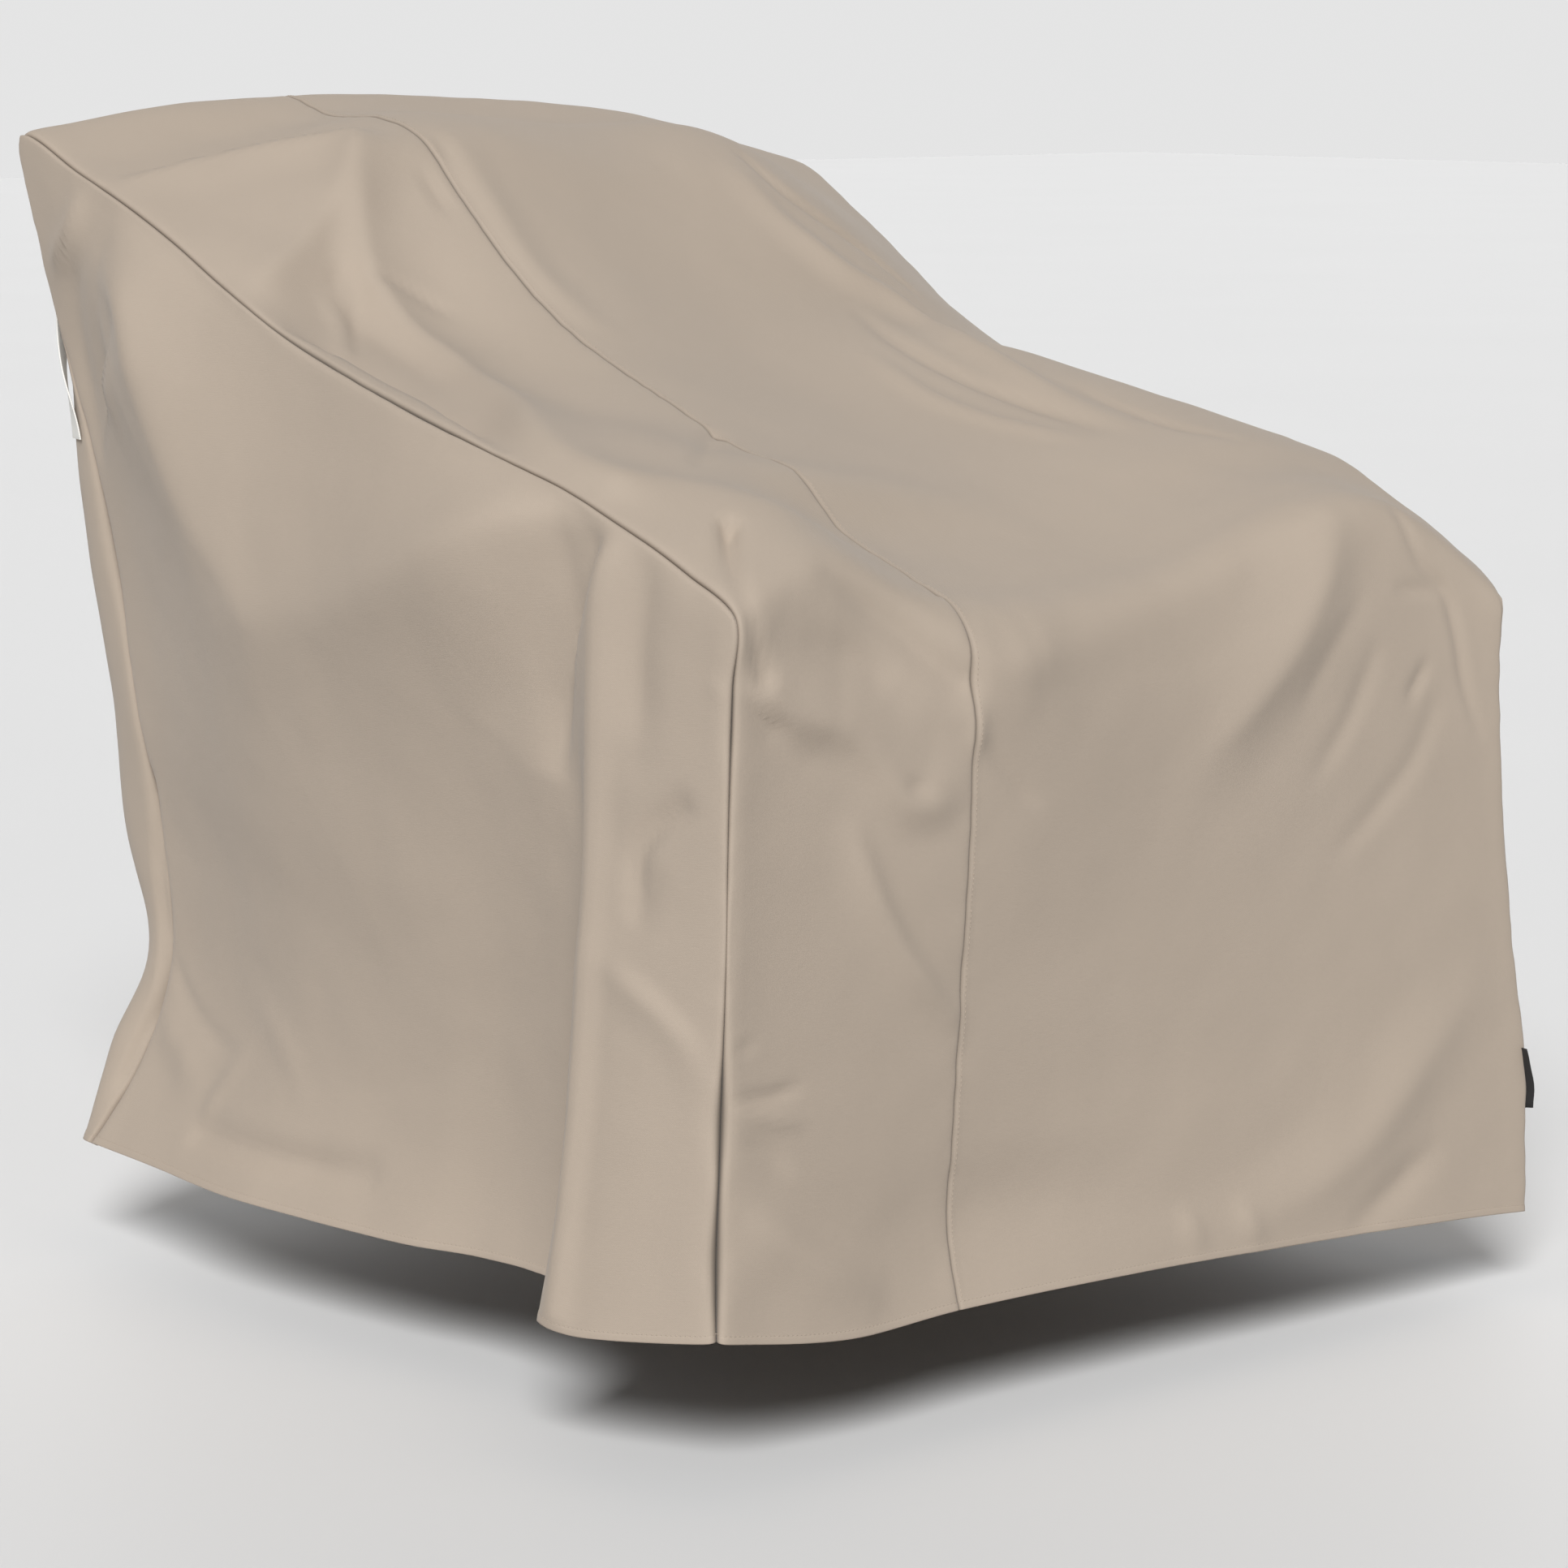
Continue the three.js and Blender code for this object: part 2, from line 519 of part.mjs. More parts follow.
// A closed sheet of even thickness on a grid of points and outward directions
function sheet(grid, out, thickness, outsideFirst) {
  const rows = grid.length;
  const columns = grid[0].length;
  const positions = [];
  for (const half of [0.5, -0.5]) {
    grid.forEach((row, i) => row.forEach((point, j) => {
      positions.push(...point.clone().addScaledVector(out[i][j], half * thickness).toArray());
    }));
  }
  const outer = (i, j) => i * columns + j;
  const inner = (i, j) => rows * columns + outer(i, j);
  const indices = [];
  const quad = (a, b, c, d) => {
    if (outsideFirst) indices.push(a, b, c, a, c, d);
    else indices.push(a, c, b, a, d, c);
  };
  for (let i = 0; i < rows - 1; i += 1) {
    for (let j = 0; j < columns - 1; j += 1) {
      quad(outer(i, j), outer(i, j + 1), outer(i + 1, j + 1), outer(i + 1, j));
      quad(inner(i, j), inner(i + 1, j), inner(i + 1, j + 1), inner(i, j + 1));
    }
    quad(outer(i, 0), outer(i + 1, 0), inner(i + 1, 0), inner(i, 0));
    quad(outer(i + 1, columns - 1), outer(i, columns - 1), inner(i, columns - 1), inner(i + 1, columns - 1));
  }
  for (let j = 0; j < columns - 1; j += 1) {
    quad(outer(0, j + 1), outer(0, j), inner(0, j), inner(0, j + 1));
    quad(outer(rows - 1, j), outer(rows - 1, j + 1), inner(rows - 1, j + 1), inner(rows - 1, j));
  }
  const geometry = new THREE.BufferGeometry();
  geometry.setAttribute('position', new THREE.Float32BufferAttribute(positions, 3));
  geometry.setIndex(indices);
  return geometry;
}

function clothMaterial(colour, roughness) {
  return new THREE.MeshStandardMaterial({ color: colour, roughness, metalness: 0 });
}

// The four panels, folded together before they are parted at the seams
const run = runGrid();
const lastWidth = STEPS_STRIP + STEPS_MAIN;
const nearSide = sideGrid(run.map((row) => row[0].clone()), NEAR_HEM, -1);
const farSide = sideGrid(run.map((row) => row[lastWidth].clone()), FAR_HEM, 1);
const panels = [
  { name: 'run', grid: run, turn: 1, edgeDistance: runEdgeDistance },
  { name: 'near', grid: nearSide, turn: 1, edgeDistance: sideEdgeDistance(nearSide) },
  { name: 'far', grid: farSide, turn: -1, edgeDistance: sideEdgeDistance(farSide) },
];
function outwardDirections() {
  const [runOut, nearOut, farOut] = panels.map(({ grid, turn }) => directions(grid, turn));
  shareSeam(runOut, nearOut, 0);
  shareSeam(runOut, farOut, lastWidth);
  return [runOut, nearOut, farOut];
}
const flatOut = outwardDirections();
panels.forEach(({ name, grid, edgeDistance }, i) => foldCloth(grid, flatOut[i], name, edgeDistance));
const [runOut, nearOut, farOut] = outwardDirections();

const columnsOf = (grid, from, to) => grid.map((row) => row.slice(from, to).map((p) => p.clone()));
const strip = columnsOf(run, 0, STEPS_STRIP + 1);
const main = columnsOf(run, STEPS_STRIP, lastWidth + 1);
drawBack(strip, ['firstColumn', 'lastColumn']);
drawBack(main, ['firstColumn', 'lastColumn']);
drawBack(nearSide, ['firstRow', 'lastRow', 'lastColumn']);
drawBack(farSide, ['firstRow', 'lastRow', 'lastColumn']);

// The point at any place between the rows and columns of a grid, on the flat
// triangles that sheet() makes of it
function between(grid, row, column) {
  const i = Math.min(Math.floor(row), grid.length - 2);
  const j = Math.min(Math.floor(column), grid[0].length - 2);
  const u = row - i;
  const v = column - j;
  const corner = v > u ? grid[i][j + 1] : grid[i + 1][j];
  const long = Math.max(u, v);
  const short = Math.min(u, v);
  return new THREE.Vector3()
    .addScaledVector(grid[i][j], 1 - long)
    .addScaledVector(corner, long - short)
    .addScaledVector(grid[i + 1][j + 1], short);
}

// The outer face of a grid of cloth
function outerFace(grid, out) {
  return grid.map((row, i) => row.map((point, j) => (
    point.clone().addScaledVector(out[i][j], CLOTH / 2)
  )));
}

// The row, with its fraction, at which a column of a grid passes a height
function rowAtHeight(grid, column, height, firstRow, lastRow) {
  for (let i = firstRow; i < lastRow; i += 1) {
    const a = between(grid, i, column).z;
    const b = between(grid, i + 1, column).z;
    if ((a - height) * (b - height) <= 0) return i + (height - a) / (b - a);
  }
  throw new Error(`no row at height ${height}`);
}

// The handle lies on the back of the strip at both ends and bows off it between.
function handleSheet(face) {
  const lastRow = face.length - 1;
  const columnWidth = STRIP_WIDTH / STEPS_STRIP;
  const columns = [-0.5, 0, 0.5].map((side) => HANDLE.column + side * HANDLE.width / columnWidth);
  const out = [];
  const points = spaced(HANDLE.top, HANDLE.bottom, HANDLE.steps).map((height, i) => {
    const row = rowAtHeight(face, HANDLE.column, height, topEnd, lastRow);
    const edges = columns.map((column) => between(face, row, column));
    const across = edges[2].clone().sub(edges[0]);
    const outside = across.cross(new THREE.Vector3(0, 0, -1)).normalize();
    const bow = HANDLE.bow * Math.sin(Math.PI * i / HANDLE.steps) ** 2;
    const lift = HANDLE.thickness / 2 + HANDLE.off + bow;
    out.push(columns.map(() => outside));
    return edges.map((point) => point.addScaledVector(outside, lift));
  });
  return sheet(points, out, HANDLE.thickness, true);
}

// The tag stands out of the far front seam, half-way between the two panels.
function tagSheet(face) {
  const out = [];
  const points = spaced(TAG.bottom, TAG.top, TAG.steps).map((height, i) => {
    const row = rowAtHeight(face, STEPS_MAIN, height, 0, topStart);
    const outside = between(runOut, row, lastWidth).setZ(0).normalize();
    const reach = THREE.MathUtils.lerp(TAG.reach, TAG.topReach, Math.max(0, 2 * i / TAG.steps - 1));
    const root = between(face, row, STEPS_MAIN).addScaledVector(outside, CLEARANCE);
    out.push([0, 1].map(() => new THREE.Vector3(outside.y, -outside.x, 0)));
    return [root, root.clone().addScaledVector(outside, reach)];
  });
  return sheet(points, out, TAG.thickness, true);
}

const cloth = clothMaterial(CLOTH_COLOUR, 0.82);
const cover = new THREE.Group();
cover.position.copy(PLACE);
function addPiece(name, geometry, material) {
  const mesh = new THREE.Mesh(geometry, material);
  mesh.name = name;
  cover.add(mesh);
}
const stripOut = columnsOf(runOut, 0, STEPS_STRIP + 1);
const mainOut = columnsOf(runOut, STEPS_STRIP, lastWidth + 1);
addPiece('narrow_strip', sheet(strip, stripOut, CLOTH, true), cloth);
addPiece('main_panel', sheet(main, mainOut, CLOTH, true), cloth);
addPiece('near_side_panel', sheet(nearSide, nearOut, CLOTH, true), cloth);
addPiece('far_side_panel', sheet(farSide, farOut, CLOTH, false), cloth);
addPiece('pull_handle', handleSheet(outerFace(strip, stripOut)), clothMaterial(WEBBING_COLOUR, 0.6));
addPiece('side_tag', tagSheet(outerFace(main, mainOut)), clothMaterial(LABEL_COLOUR, 0.5));

export default cover;
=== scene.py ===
"""A fitted cover for a lounge chair, dressed as it hangs: cloth panels with their
folds and seams, hem and seam stitching, a webbing handle, a blank tag and a stage."""

import functools
import math

import bmesh
import bpy
import numpy as np
from bpy.props import FloatProperty, FloatVectorProperty, PointerProperty
from bpy.types import Operator, Panel, PropertyGroup
from mathutils import Matrix, Vector, noise


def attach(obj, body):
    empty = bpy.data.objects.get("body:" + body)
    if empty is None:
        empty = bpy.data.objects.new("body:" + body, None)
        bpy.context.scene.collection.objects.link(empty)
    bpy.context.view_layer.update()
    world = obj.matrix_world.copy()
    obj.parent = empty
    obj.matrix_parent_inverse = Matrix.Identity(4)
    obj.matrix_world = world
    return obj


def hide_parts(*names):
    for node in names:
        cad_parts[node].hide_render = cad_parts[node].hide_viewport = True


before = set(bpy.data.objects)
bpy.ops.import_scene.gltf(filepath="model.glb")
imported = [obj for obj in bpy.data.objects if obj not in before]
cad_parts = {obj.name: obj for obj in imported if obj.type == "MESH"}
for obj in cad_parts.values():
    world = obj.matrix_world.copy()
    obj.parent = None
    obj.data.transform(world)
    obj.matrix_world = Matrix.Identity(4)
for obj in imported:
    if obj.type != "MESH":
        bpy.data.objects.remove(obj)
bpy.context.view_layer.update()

bl_info = {
    "name": "Lounge Chair Cover",
    "version": (1, 0, 0),
    "blender": (4, 5, 0),
    "location": "3D View > Sidebar > Chair Cover",
    "description": "Dresses a fitted lounge chair cover with draped cloth, seams and stitching",
    "category": "Object",
}

# Sizes of the cut cover in millimetres, the same as in the solids. The front looks
# towards -Y, the near side towards -X, and 0 is the level of the straight hem, whose
# middle stands at PLACE in the part's own frame.
MM = 0.001
WIDTH = 952
DEPTH = 996
SIDE = WIDTH / 2
END = DEPTH / 2
STRIP_WIDTH = 261
MAIN_WIDTH = WIDTH - STRIP_WIDTH
PLACE = np.array((12.3, -7.2, 30.1))


def table(columns, *rows):
    """The rows as dictionaries, by the names of their columns."""
    return [dict(zip(columns.split(), row)) for row in rows]


# Six lines run lengthwise over the cloth: the near edge, the crest of the near
# arm, the lengthwise seam, the middle, the crest of the far arm, the far edge.
LINES = ("near", "arm", "seam", "middle", "farArm", "far")
ACROSS = dict(near=0, arm=0.125, seam=0.27, middle=0.51, farArm=0.8, far=1)
LINE_X = dict(arm=-350, seam=STRIP_WIDTH - SIDE, middle=30, farArm=330)
FAR_ARM_BACK_X = 300

# Front: how far each line stands forward of the front plane, at a share of the
# height from hem to front edge. nearOut and farOut are the edges' sideways reach.
FRONT = table(
    "share nearOut near arm seam middle farArm far farOut",
    (0.00, 2, -1, 4, 2, 10, 20, 22, 13),
    (0.12, 1, -2, -4, -14, 4, 14, 18, 14),
    (0.25, -1, 0, -4, -8, 2, 10, 16, 11),
    (0.50, -7, 0, -2, 2, 2, 2, 10, -8),
    (0.75, -11, 0, -2, 12, 0, -6, 6, -21),
    (0.90, -13, 2, -4, 6, -8, -16, 4, -25),
    (1.00, -13, 5, -15, -12, -28, -36, 2, -25),
)

# Top: height of each line over the level hem, at a station from front to back.
# The crest of the far arm moves inwards where the back rises.
TOP = table(
    "y nearOut near arm seam middle farArm far farOut farArmX",
    (-500, -13, 610, 640, 588, 580, 636, 552, -25, 330),
    (-440, -10, 643, 672, 618, 604, 651, 590, -18, 335),
    (-340, -4, 683, 700, 656, 640, 669, 640, -12, 345),
    (-295, -2, 698, 714, 692, 657, 686, 660, -9, 348),
    (-220, 0, 716, 730, 709, 680, 703, 676, -6, 350),
    (-100, 1, 745, 742, 749, 716, 731, 690, -4, 350),
    (20, 2, 779, 762, 794, 766, 756, 698, -2, 345),
    (110, 4, 808, 797, 843, 818, 776, 712, -2, 325),
    (200, 6, 846, 868, 912, 888, 855, 745, -2, 270),
    (270, 8, 880, 917, 970, 945, 916, 779, -2, 250),
    (330, 10, 906, 945, 986, 972, 948, 818, -2, 245),
    (420, 12, 940, 962, 988, 978, 962, 877, -4, 250),
    (510, 14, 971, 995, 1003, 998, 972, 924, -6, 260),
)

# Where the back edge of the top lies on each line
BACK_EDGE_Y = dict(near=527, arm=512, seam=500, middle=505, farArm=508, far=520)

# Back: how far each line stands behind the back plane, at a share of the height.
BACK = table(
    "share nearOut near arm seam middle farArm far farOut armX",
    (0.88, 4, 12, 26, 20, 22, 22, 7, -8, -385),
    (0.70, -24, -23, 26, 22, 26, 24, -13, -18, -424),
    (0.58, -36, -43, 24, 20, 24, 22, -23, -24, -418),
    (0.44, -45, -59, 18, 16, 20, 18, -28, -26, -402),
    (0.30, -63, -73, 12, 10, 14, 12, -28, -24, -396),
    (0.18, -64, -72, -20, 4, 10, 8, -24, -18, -392),
    (0.09, -46, -53, 2, 2, 8, 6, -18, -12, -424),
    (0.00, -2, -24, 4, 2, 10, 8, -8, -4, -442),
)

# Height of the hem under each line, over or under the level hem
FRONT_HEM = dict(near=20, arm=0, seam=0, middle=-4, farArm=-18, far=-30)
BACK_HEM = dict(near=0, arm=4, seam=10, middle=8, farArm=-5, far=-22)

# Hems of the side panels between their corners: sideways reach, station, height.
# The near hem swings out round a deep pleat and then falls back behind it.
NEAR_HEM = table(
    "share out y z",
    (0.030, 20, -452, 14),
    (0.070, 40, -402, 9),
    (0.110, 50, -358, 6),
    (0.148, 47, -316, 10),
    (0.166, 20, -300, 9),
    (0.184, -14, -286, 9),
    (0.205, -32, -252, 9),
    (0.240, -37, -196, 9),
    (0.300, -34, -130, 7),
    (0.400, -15, -45, 4),
    (0.500, -4, 30, 3),
    (0.600, 6, 105, 3),
    (0.720, 14, 215, 2),
    (0.850, 4, 350, 1),
)
FAR_HEM = table(
    "share out y z",
    (0.10, 14, -410, -30),
    (0.25, -6, -260, -28),
    (0.40, 16, -110, -28),
    (0.55, 2, 40, -26),
    (0.70, 20, 190, -25),
    (0.85, 6, 350, -23),
)

# Folds: each goes its way over the places given, in the panels that it is on, where
# run is the strip and the main panel, and all crosses the seams too. rise is the
# height of its ridge, or below 0 the depth of its trough. left and right are how far
# it spreads to either side of its way, as seen from outside, or 0 for as far as the
# panel's seam. tip rounds its crest, and first and last are the shares of its height
# that it has at its two ends.
FOLDS = table(
    "name on way left right rise tip first last",
    ("leaf rear", "near",
     ((-482, 381, 847), (-481, 314, 822), (-477, 286, 772), (-472, 264, 722), (-466, 228, 659),
      (-461, 165, 594), (-459, 118, 556)), 0, 0, 52, 14, 0.3, 0.9),
    ("leaf front", "near",
     ((-459, 118, 556), (-463, -24, 585), (-467, -115, 622), (-471, -230, 663), (-472, -296, 674)),
     0, 380, 58, 20, 0.9, 0.3),
    ("arch one", "near",
     ((-471, -297, 655), (-467, -270, 612), (-460, -236, 554), (-453, -198, 487)),
     46, 64, -8, 14, 0.9, 0.2),
    ("arch two", "near",
     ((-473, -340, 655), (-472, -321, 608), (-461, -289, 530), (-453, -272, 453)),
     18, 66, -15, 8, 1, 0),
    ("pleat ridge", "near",
     ((-473, -356, 645), (-478, -350, 500), (-490, -348, 340), (-505, -346, 180), (-522, -344, 20)),
     26, 16, 7, 4, 0.6, 1),
    ("face hollow", "near",
     ((-470, -402, 639), (-473, -396, 589), (-475, -396, 543), (-478, -397, 497)),
     38, 34, -9, 9, 0.8, 0.3),
    ("face crease", "near",
     ((-473, -450, 452), (-479, -422, 433), (-483, -403, 405), (-486, -402, 372)),
     14, 24, -8, 4, 0.8, 0.4),
    ("face patch", "near",
     ((-483, -415, 387), (-486, -406, 366), (-488, -396, 351)), 24, 24, -5, 10, 0.7, 0.5),
    ("face edge", "near",
     ((-493, -373, 315), (-488, -427, 289), (-481, -464, 261), (-477, -484, 234)),
     14, 34, 5, 6, 0.3, 0.5),
    ("corner rib", "run",
     ((-452, -498, 481), (-454, -497, 389), (-461, -498, 291), (-468, -498, 191), (-470, -497, 124),
      (-472, -497, 43)), 6, 9, 3, 3, 0.5, 0.5),
    ("face rib", "near",
     ((-464, -490, 605), (-464, -489, 553), (-466, -487, 494)), 10, 14, 4, 4, 0.3, 0.3),
    ("face bump", "near", ((-465, -486, 553), (-464, -490, 549)), 10, 10, 3, 5, 1, 1),
    ("corner facet", "near",
     ((-487, 419, 918), (-484, 441, 881), (-480, 484, 852)), 30, 30, 9, 6, 0.3, 0.3),
    ("rear wedge", "near",
     ((-482, 435, 854), (-473, 456, 795), (-463, 459, 741), (-454, 461, 687)), 30, 28, -6, 12, 0.5, 0.5),
    ("rear rib", "near", ((-481, 379, 838), (-474, 376, 779), (-464, 368, 712)), 30, 30, 4, 12, 0.3, 0.3),
    ("rear seam hollow", "all",
     ((-424, 423, 368), (-415, 431, 310), (-412, 434, 246), (-412, 430, 183), (-416, 432, 147),
      (-425, 444, 114), (-447, 462, 57)), 9, 9, -6, 3, 0.3, 0.6),
    ("low crease", "near",
     ((-412, 415, 187), (-420, 379, 156), (-430, 325, 130), (-439, 265, 118)), 12, 10, -3, 4, 0.7, 0.2),
    ("low rib", "near", ((-442, 250, 113), (-447, 280, 84), (-457, 301, 54)), 14, 18, 4, 6, 0.3, 0.6),
    ("low ray", "near", ((-434, 231, 179), (-444, 173, 144), (-450, 135, 107)), 22, 22, 2, 10, 0.3, 0.3),
    ("low pocket", "near",
     ((-463, 297, 42), (-470, 206, 45), (-466, 117, 47), (-456, 29, 55)), 24, 18, -9, 8, 0.7, 0.4),
    ("low facet", "near", ((-422, 414, 127), (-430, 374, 106), (-440, 334, 87)), 30, 30, 6, 12, 0.5, 0.5),
    ("arm crease", "run",
     ((-401, -419, 671), (-425, -451, 652), (-448, -491, 625), (-445, -503, 591), (-431, -497, 559)),
     12, 10, -8, 3, 2, 0.9),
    ("arm slope", "run",
     ((-445, -499, 557), (-431, -497, 547), (-409, -496, 532), (-383, -496, 522), (-357, -496, 516)),
     110, 30, 11, 8, 0.5, 0.6),
    ("arm wedge", "run",
     ((-443, -498, 540), (-427, -497, 527), (-409, -496, 512)), 8, 26, -6, 4, 0.8, 0.5),
    ("bulge edge", "run",
     ((-357, -496, 516), (-329, -497, 498), (-308, -500, 476), (-292, -502, 455), (-276, -504, 442),
      (-256, -506, 441)), 60, 30, 9, 8, 0.5, 0.8),
    ("dimple", "run", ((-280, -503, 458), (-272, -504, 456)), 9, 9, -3, 4, 1, 1),
    ("strip trough", "run",
     ((-343, -485, 633), (-317, -490, 613), (-285, -494, 589), (-255, -499, 563), (-225, -502, 540)),
     24, 30, -9, 8, 0.5, 0.9),
    ("strip hollow", "run",
     ((-359, -494, 573), (-324, -496, 563), (-294, -500, 538)), 30, 30, -6, 12, 0.6, 0.4),
    ("seam bump", "run", ((-211, -507, 511), (-209, -509, 484)), 12, 12, 4, 5, 0.5, 0.5),
    ("seam spot", "run", ((-229, -458, 610), (-220, -463, 605)), 8, 8, -3, 3, 0.7, 0.7),
    ("long ridge", "run",
     ((-333, -497, 421), (-309, -498, 365), (-274, -498, 310), (-226, -497, 258)),
     18, 36, 8, 4, 0.4, 0.5),
    ("low ridge", "run",
     ((-448, -496, 126), (-409, -495, 93), (-366, -496, 62), (-323, -496, 36)), 32, 60, 10, 8, 0.4, 0.5),
    ("pucker one", "run", ((-460, -498, 262), (-442, -497, 261)), 7, 7, -4, 3, 1, 0.3),
    ("pucker two", "run",
     ((-457, -498, 220), (-427, -497, 216), (-389, -496, 219)), 10, 8, -4, 3, 0.8, 0.3),
    ("pucker three", "run",
     ((-457, -498, 213), (-428, -497, 200), (-390, -495, 189)), 7, 9, 4, 3, 0.9, 0.3),
    ("pucker four", "run",
     ((-448, -497, 184), (-423, -496, 170), (-406, -496, 154)), 12, 12, -3, 5, 0.6, 0.4),
    ("seat edge near", "run",
     ((-222, -498, 564), (-187, -499, 547), (-140, -496, 548)), 90, 90, 13, 10, 0.7, 0.7),
    ("seat edge far", "run",
     ((-123, -493, 553), (-67, -485, 561), (3, -473, 575), (93, -455, 598), (177, -435, 625),
      (265, -409, 648)), 130, 160, 14, 12, 0.6, 0.6),
    ("under seat", "run",
     ((242, -440, 639), (174, -464, 607), (113, -474, 578), (46, -481, 556), (-19, -487, 545)),
     50, 60, -3, 14, 0.6, 0.4),
    ("drag ridge", "run",
     ((257, -463, 626), (227, -477, 580), (187, -486, 534), (139, -492, 493), (85, -495, 452)),
     60, 70, 13, 9, 0.5, 0.4),
    ("drag one", "run", ((276, -483, 560), (238, -488, 523), (199, -491, 476)), 14, 18, -2, 6, 0.6, 0.3),
    ("drag two", "run", ((295, -489, 515), (268, -492, 469), (215, -495, 413)), 14, 18, -3, 6, 0.6, 0.3),
    ("drag three", "run",
     ((369, -494, 456), (345, -496, 418), (300, -497, 378), (245, -498, 340)), 16, 20, -3, 6, 0.6, 0.3),
    ("drag four", "run", ((361, -491, 498), (338, -492, 470)), 9, 11, -4, 4, 0.5, 0.4),
    ("far corner line", "run",
     ((345, -462, 634), (358, -478, 598), (390, -487, 561), (400, -493, 521), (409, -496, 475),
      (425, -500, 433)), 12, 10, -4, 3, 0.5, 0.3),
    ("far short crease", "run", ((331, -482, 570), (385, -486, 566)), 8, 8, -3, 3, 0.5, 0.5),
    ("seam ray", "run", ((-197, -509, 482), (-170, -510, 452), (-143, -509, 428)), 8, 8, -3, 3, 0.5, 0.3),
    ("seat shade", "run",
     ((-159, -506, 505), (-107, -501, 512), (-14, -494, 511)), 50, 50, -2, 20, 0.6, 0.5),
    ("low hollow", "run",
     ((-177, -485, 96), (-96, -491, 69), (-7, -500, 54), (89, -505, 63), (189, -507, 91)),
     60, 44, -2, 16, 0.5, 0.4),
    ("low diagonal", "run",
     ((399, -508, 178), (330, -509, 120), (276, -510, 75), (222, -510, 46), (143, -509, 25)),
     50, 60, 8, 14, 0.4, 0.5),
    ("low trough", "run", ((358, -514, 46), (310, -515, 20), (268, -515, 0)), 24, 24, -5, 8, 0.5, 0.6),
    ("hem bump one", "run", ((47, -505, 37), (64, -508, 12)), 14, 14, 4, 5, 0.5, 0.5),
    ("hem bump two", "run", ((115, -508, 33), (131, -511, 5)), 14, 14, 4, 5, 0.5, 0.5),
    ("tent top", "run",
     ((-467, 386, 928), (-415, 370, 937), (-353, 353, 950), (-307, 326, 958), (-269, 295, 963)),
     16, 60, 12, 4, 0.4, 0.7),
    ("tent side", "run",
     ((-274, 281, 956), (-319, 248, 915), (-373, 219, 875), (-434, 192, 846), (-477, 165, 829)),
     60, 120, 20, 6, 0.6, 0.3),
    ("wing ridge", "run",
     ((-278, 271, 949), (-314, 220, 896), (-340, 170, 845), (-344, 112, 799), (-342, 52, 772),
      (-371, -73, 745), (-440, -246, 716), (-440, -322, 696)), 70, 35, 18, 6, 0.5, 0.6),
    ("wing pocket", "all",
     ((-465, 120, 808), (-443, 66, 785), (-437, -24, 759), (-444, -104, 742), (-464, -199, 723)),
     60, 8, -15, 3, 0.2, 0.3),
    ("hook", "run",
     ((-376, 174, 841), (-362, 180, 849), (-359, 170, 840), (-377, 138, 812), (-412, 93, 790)),
     8, 9, -3, 4, 0.8, 0.6),
    ("hook rib", "run", ((-394, 159, 827), (-402, 129, 806), (-432, 79, 787)), 10, 10, 4, 4, 0.5, 0.5),
    ("wing line", "run", ((-340, 165, 840), (-318, 146, 831), (-293, 105, 811)), 12, 10, -4, 4, 0.7, 0.3),
    ("crest spot", "run", ((-236, 230, 937), (-236, 212, 920), (-235, 192, 903)), 9, 9, -4, 3, 0.5, 0.5),
    ("crest spot two", "run", ((-198, 264, 971), (-202, 233, 947)), 8, 8, -3, 3, 0.5, 0.5),
    ("crest rib", "run",
     ((-185, 251, 964), (-190, 183, 903), (-194, 109, 846), (-184, 36, 803)), 34, 22, 6, 7, 0.3, 0.3),
    ("arm spot", "run", ((-214, -173, 722), (-332, -293, 711)), 11, 11, -5, 5, 0.7, 0.5),
    ("far trough", "run",
     ((196, 285, 945), (212, 246, 914), (247, 226, 884), (292, 205, 848), (324, 166, 807)),
     12, 14, -6, 4, 0.5, 0.3),
    ("far ridge", "run",
     ((164, 250, 927), (179, 206, 884), (215, 163, 838), (267, 131, 801), (264, 5, 759),
      (256, -107, 726), (266, -186, 704)), 24, 36, 9, 8, 0.3, 0.4),
    ("far trough two", "run",
     ((196, 99, 794), (190, 32, 768), (197, -36, 743), (215, -108, 722), (236, -185, 702)),
     16, 20, -7, 6, 0.3, 0.3),
    ("far ridge two", "run",
     ((137, 15, 760), (133, -71, 727), (159, -144, 706), (200, -200, 694)), 16, 22, 5, 7, 0.3, 0.3),
    ("far trough three", "run",
     ((296, -89, 733), (298, -144, 718), (311, -207, 702), (342, -262, 690)), 12, 12, -4, 5, 0.3, 0.3),
    ("arm facet", "run",
     ((-455, -266, 709), (-437, -319, 697), (-390, -354, 693), (-357, -398, 682), (-318, -422, 666)),
     70, 110, 9, 12, 0.3, 0.4),
    # Folds of the back
    ("back trough", "run",
     ((-150, 518, 900), (-110, 518, 600), (-170, 504, 260)), 90, 90, -16, 20, 0.4, 0.4),
    ("back ridge", "run",
     ((170, 518, 860), (120, 520, 560), (190, 508, 200)), 90, 110, 14, 20, 0.4, 0.4),
    ("back drag one", "run",
     ((-390, 520, 880), (-250, 520, 760), (-60, 520, 700)), 40, 60, 12, 6, 0.5, 0.2),
    ("back drag two", "run",
     ((400, 512, 850), (300, 518, 700), (120, 518, 620)), 44, 64, 13, 6, 0.5, 0.2),
    ("back drag three", "run",
     ((420, 512, 760), (340, 515, 600), (250, 515, 480)), 26, 34, 8, 5, 0.5, 0.2),
    ("back hem fold", "run",
     ((330, 505, 320), (350, 505, 150), (345, 500, 0)), 50, 64, 13, 10, 0.2, 1),
    ("back near fold", "run",
     ((-300, 508, 350), (-318, 506, 150), (-310, 502, 0)), 46, 46, 12, 9, 0.2, 1),
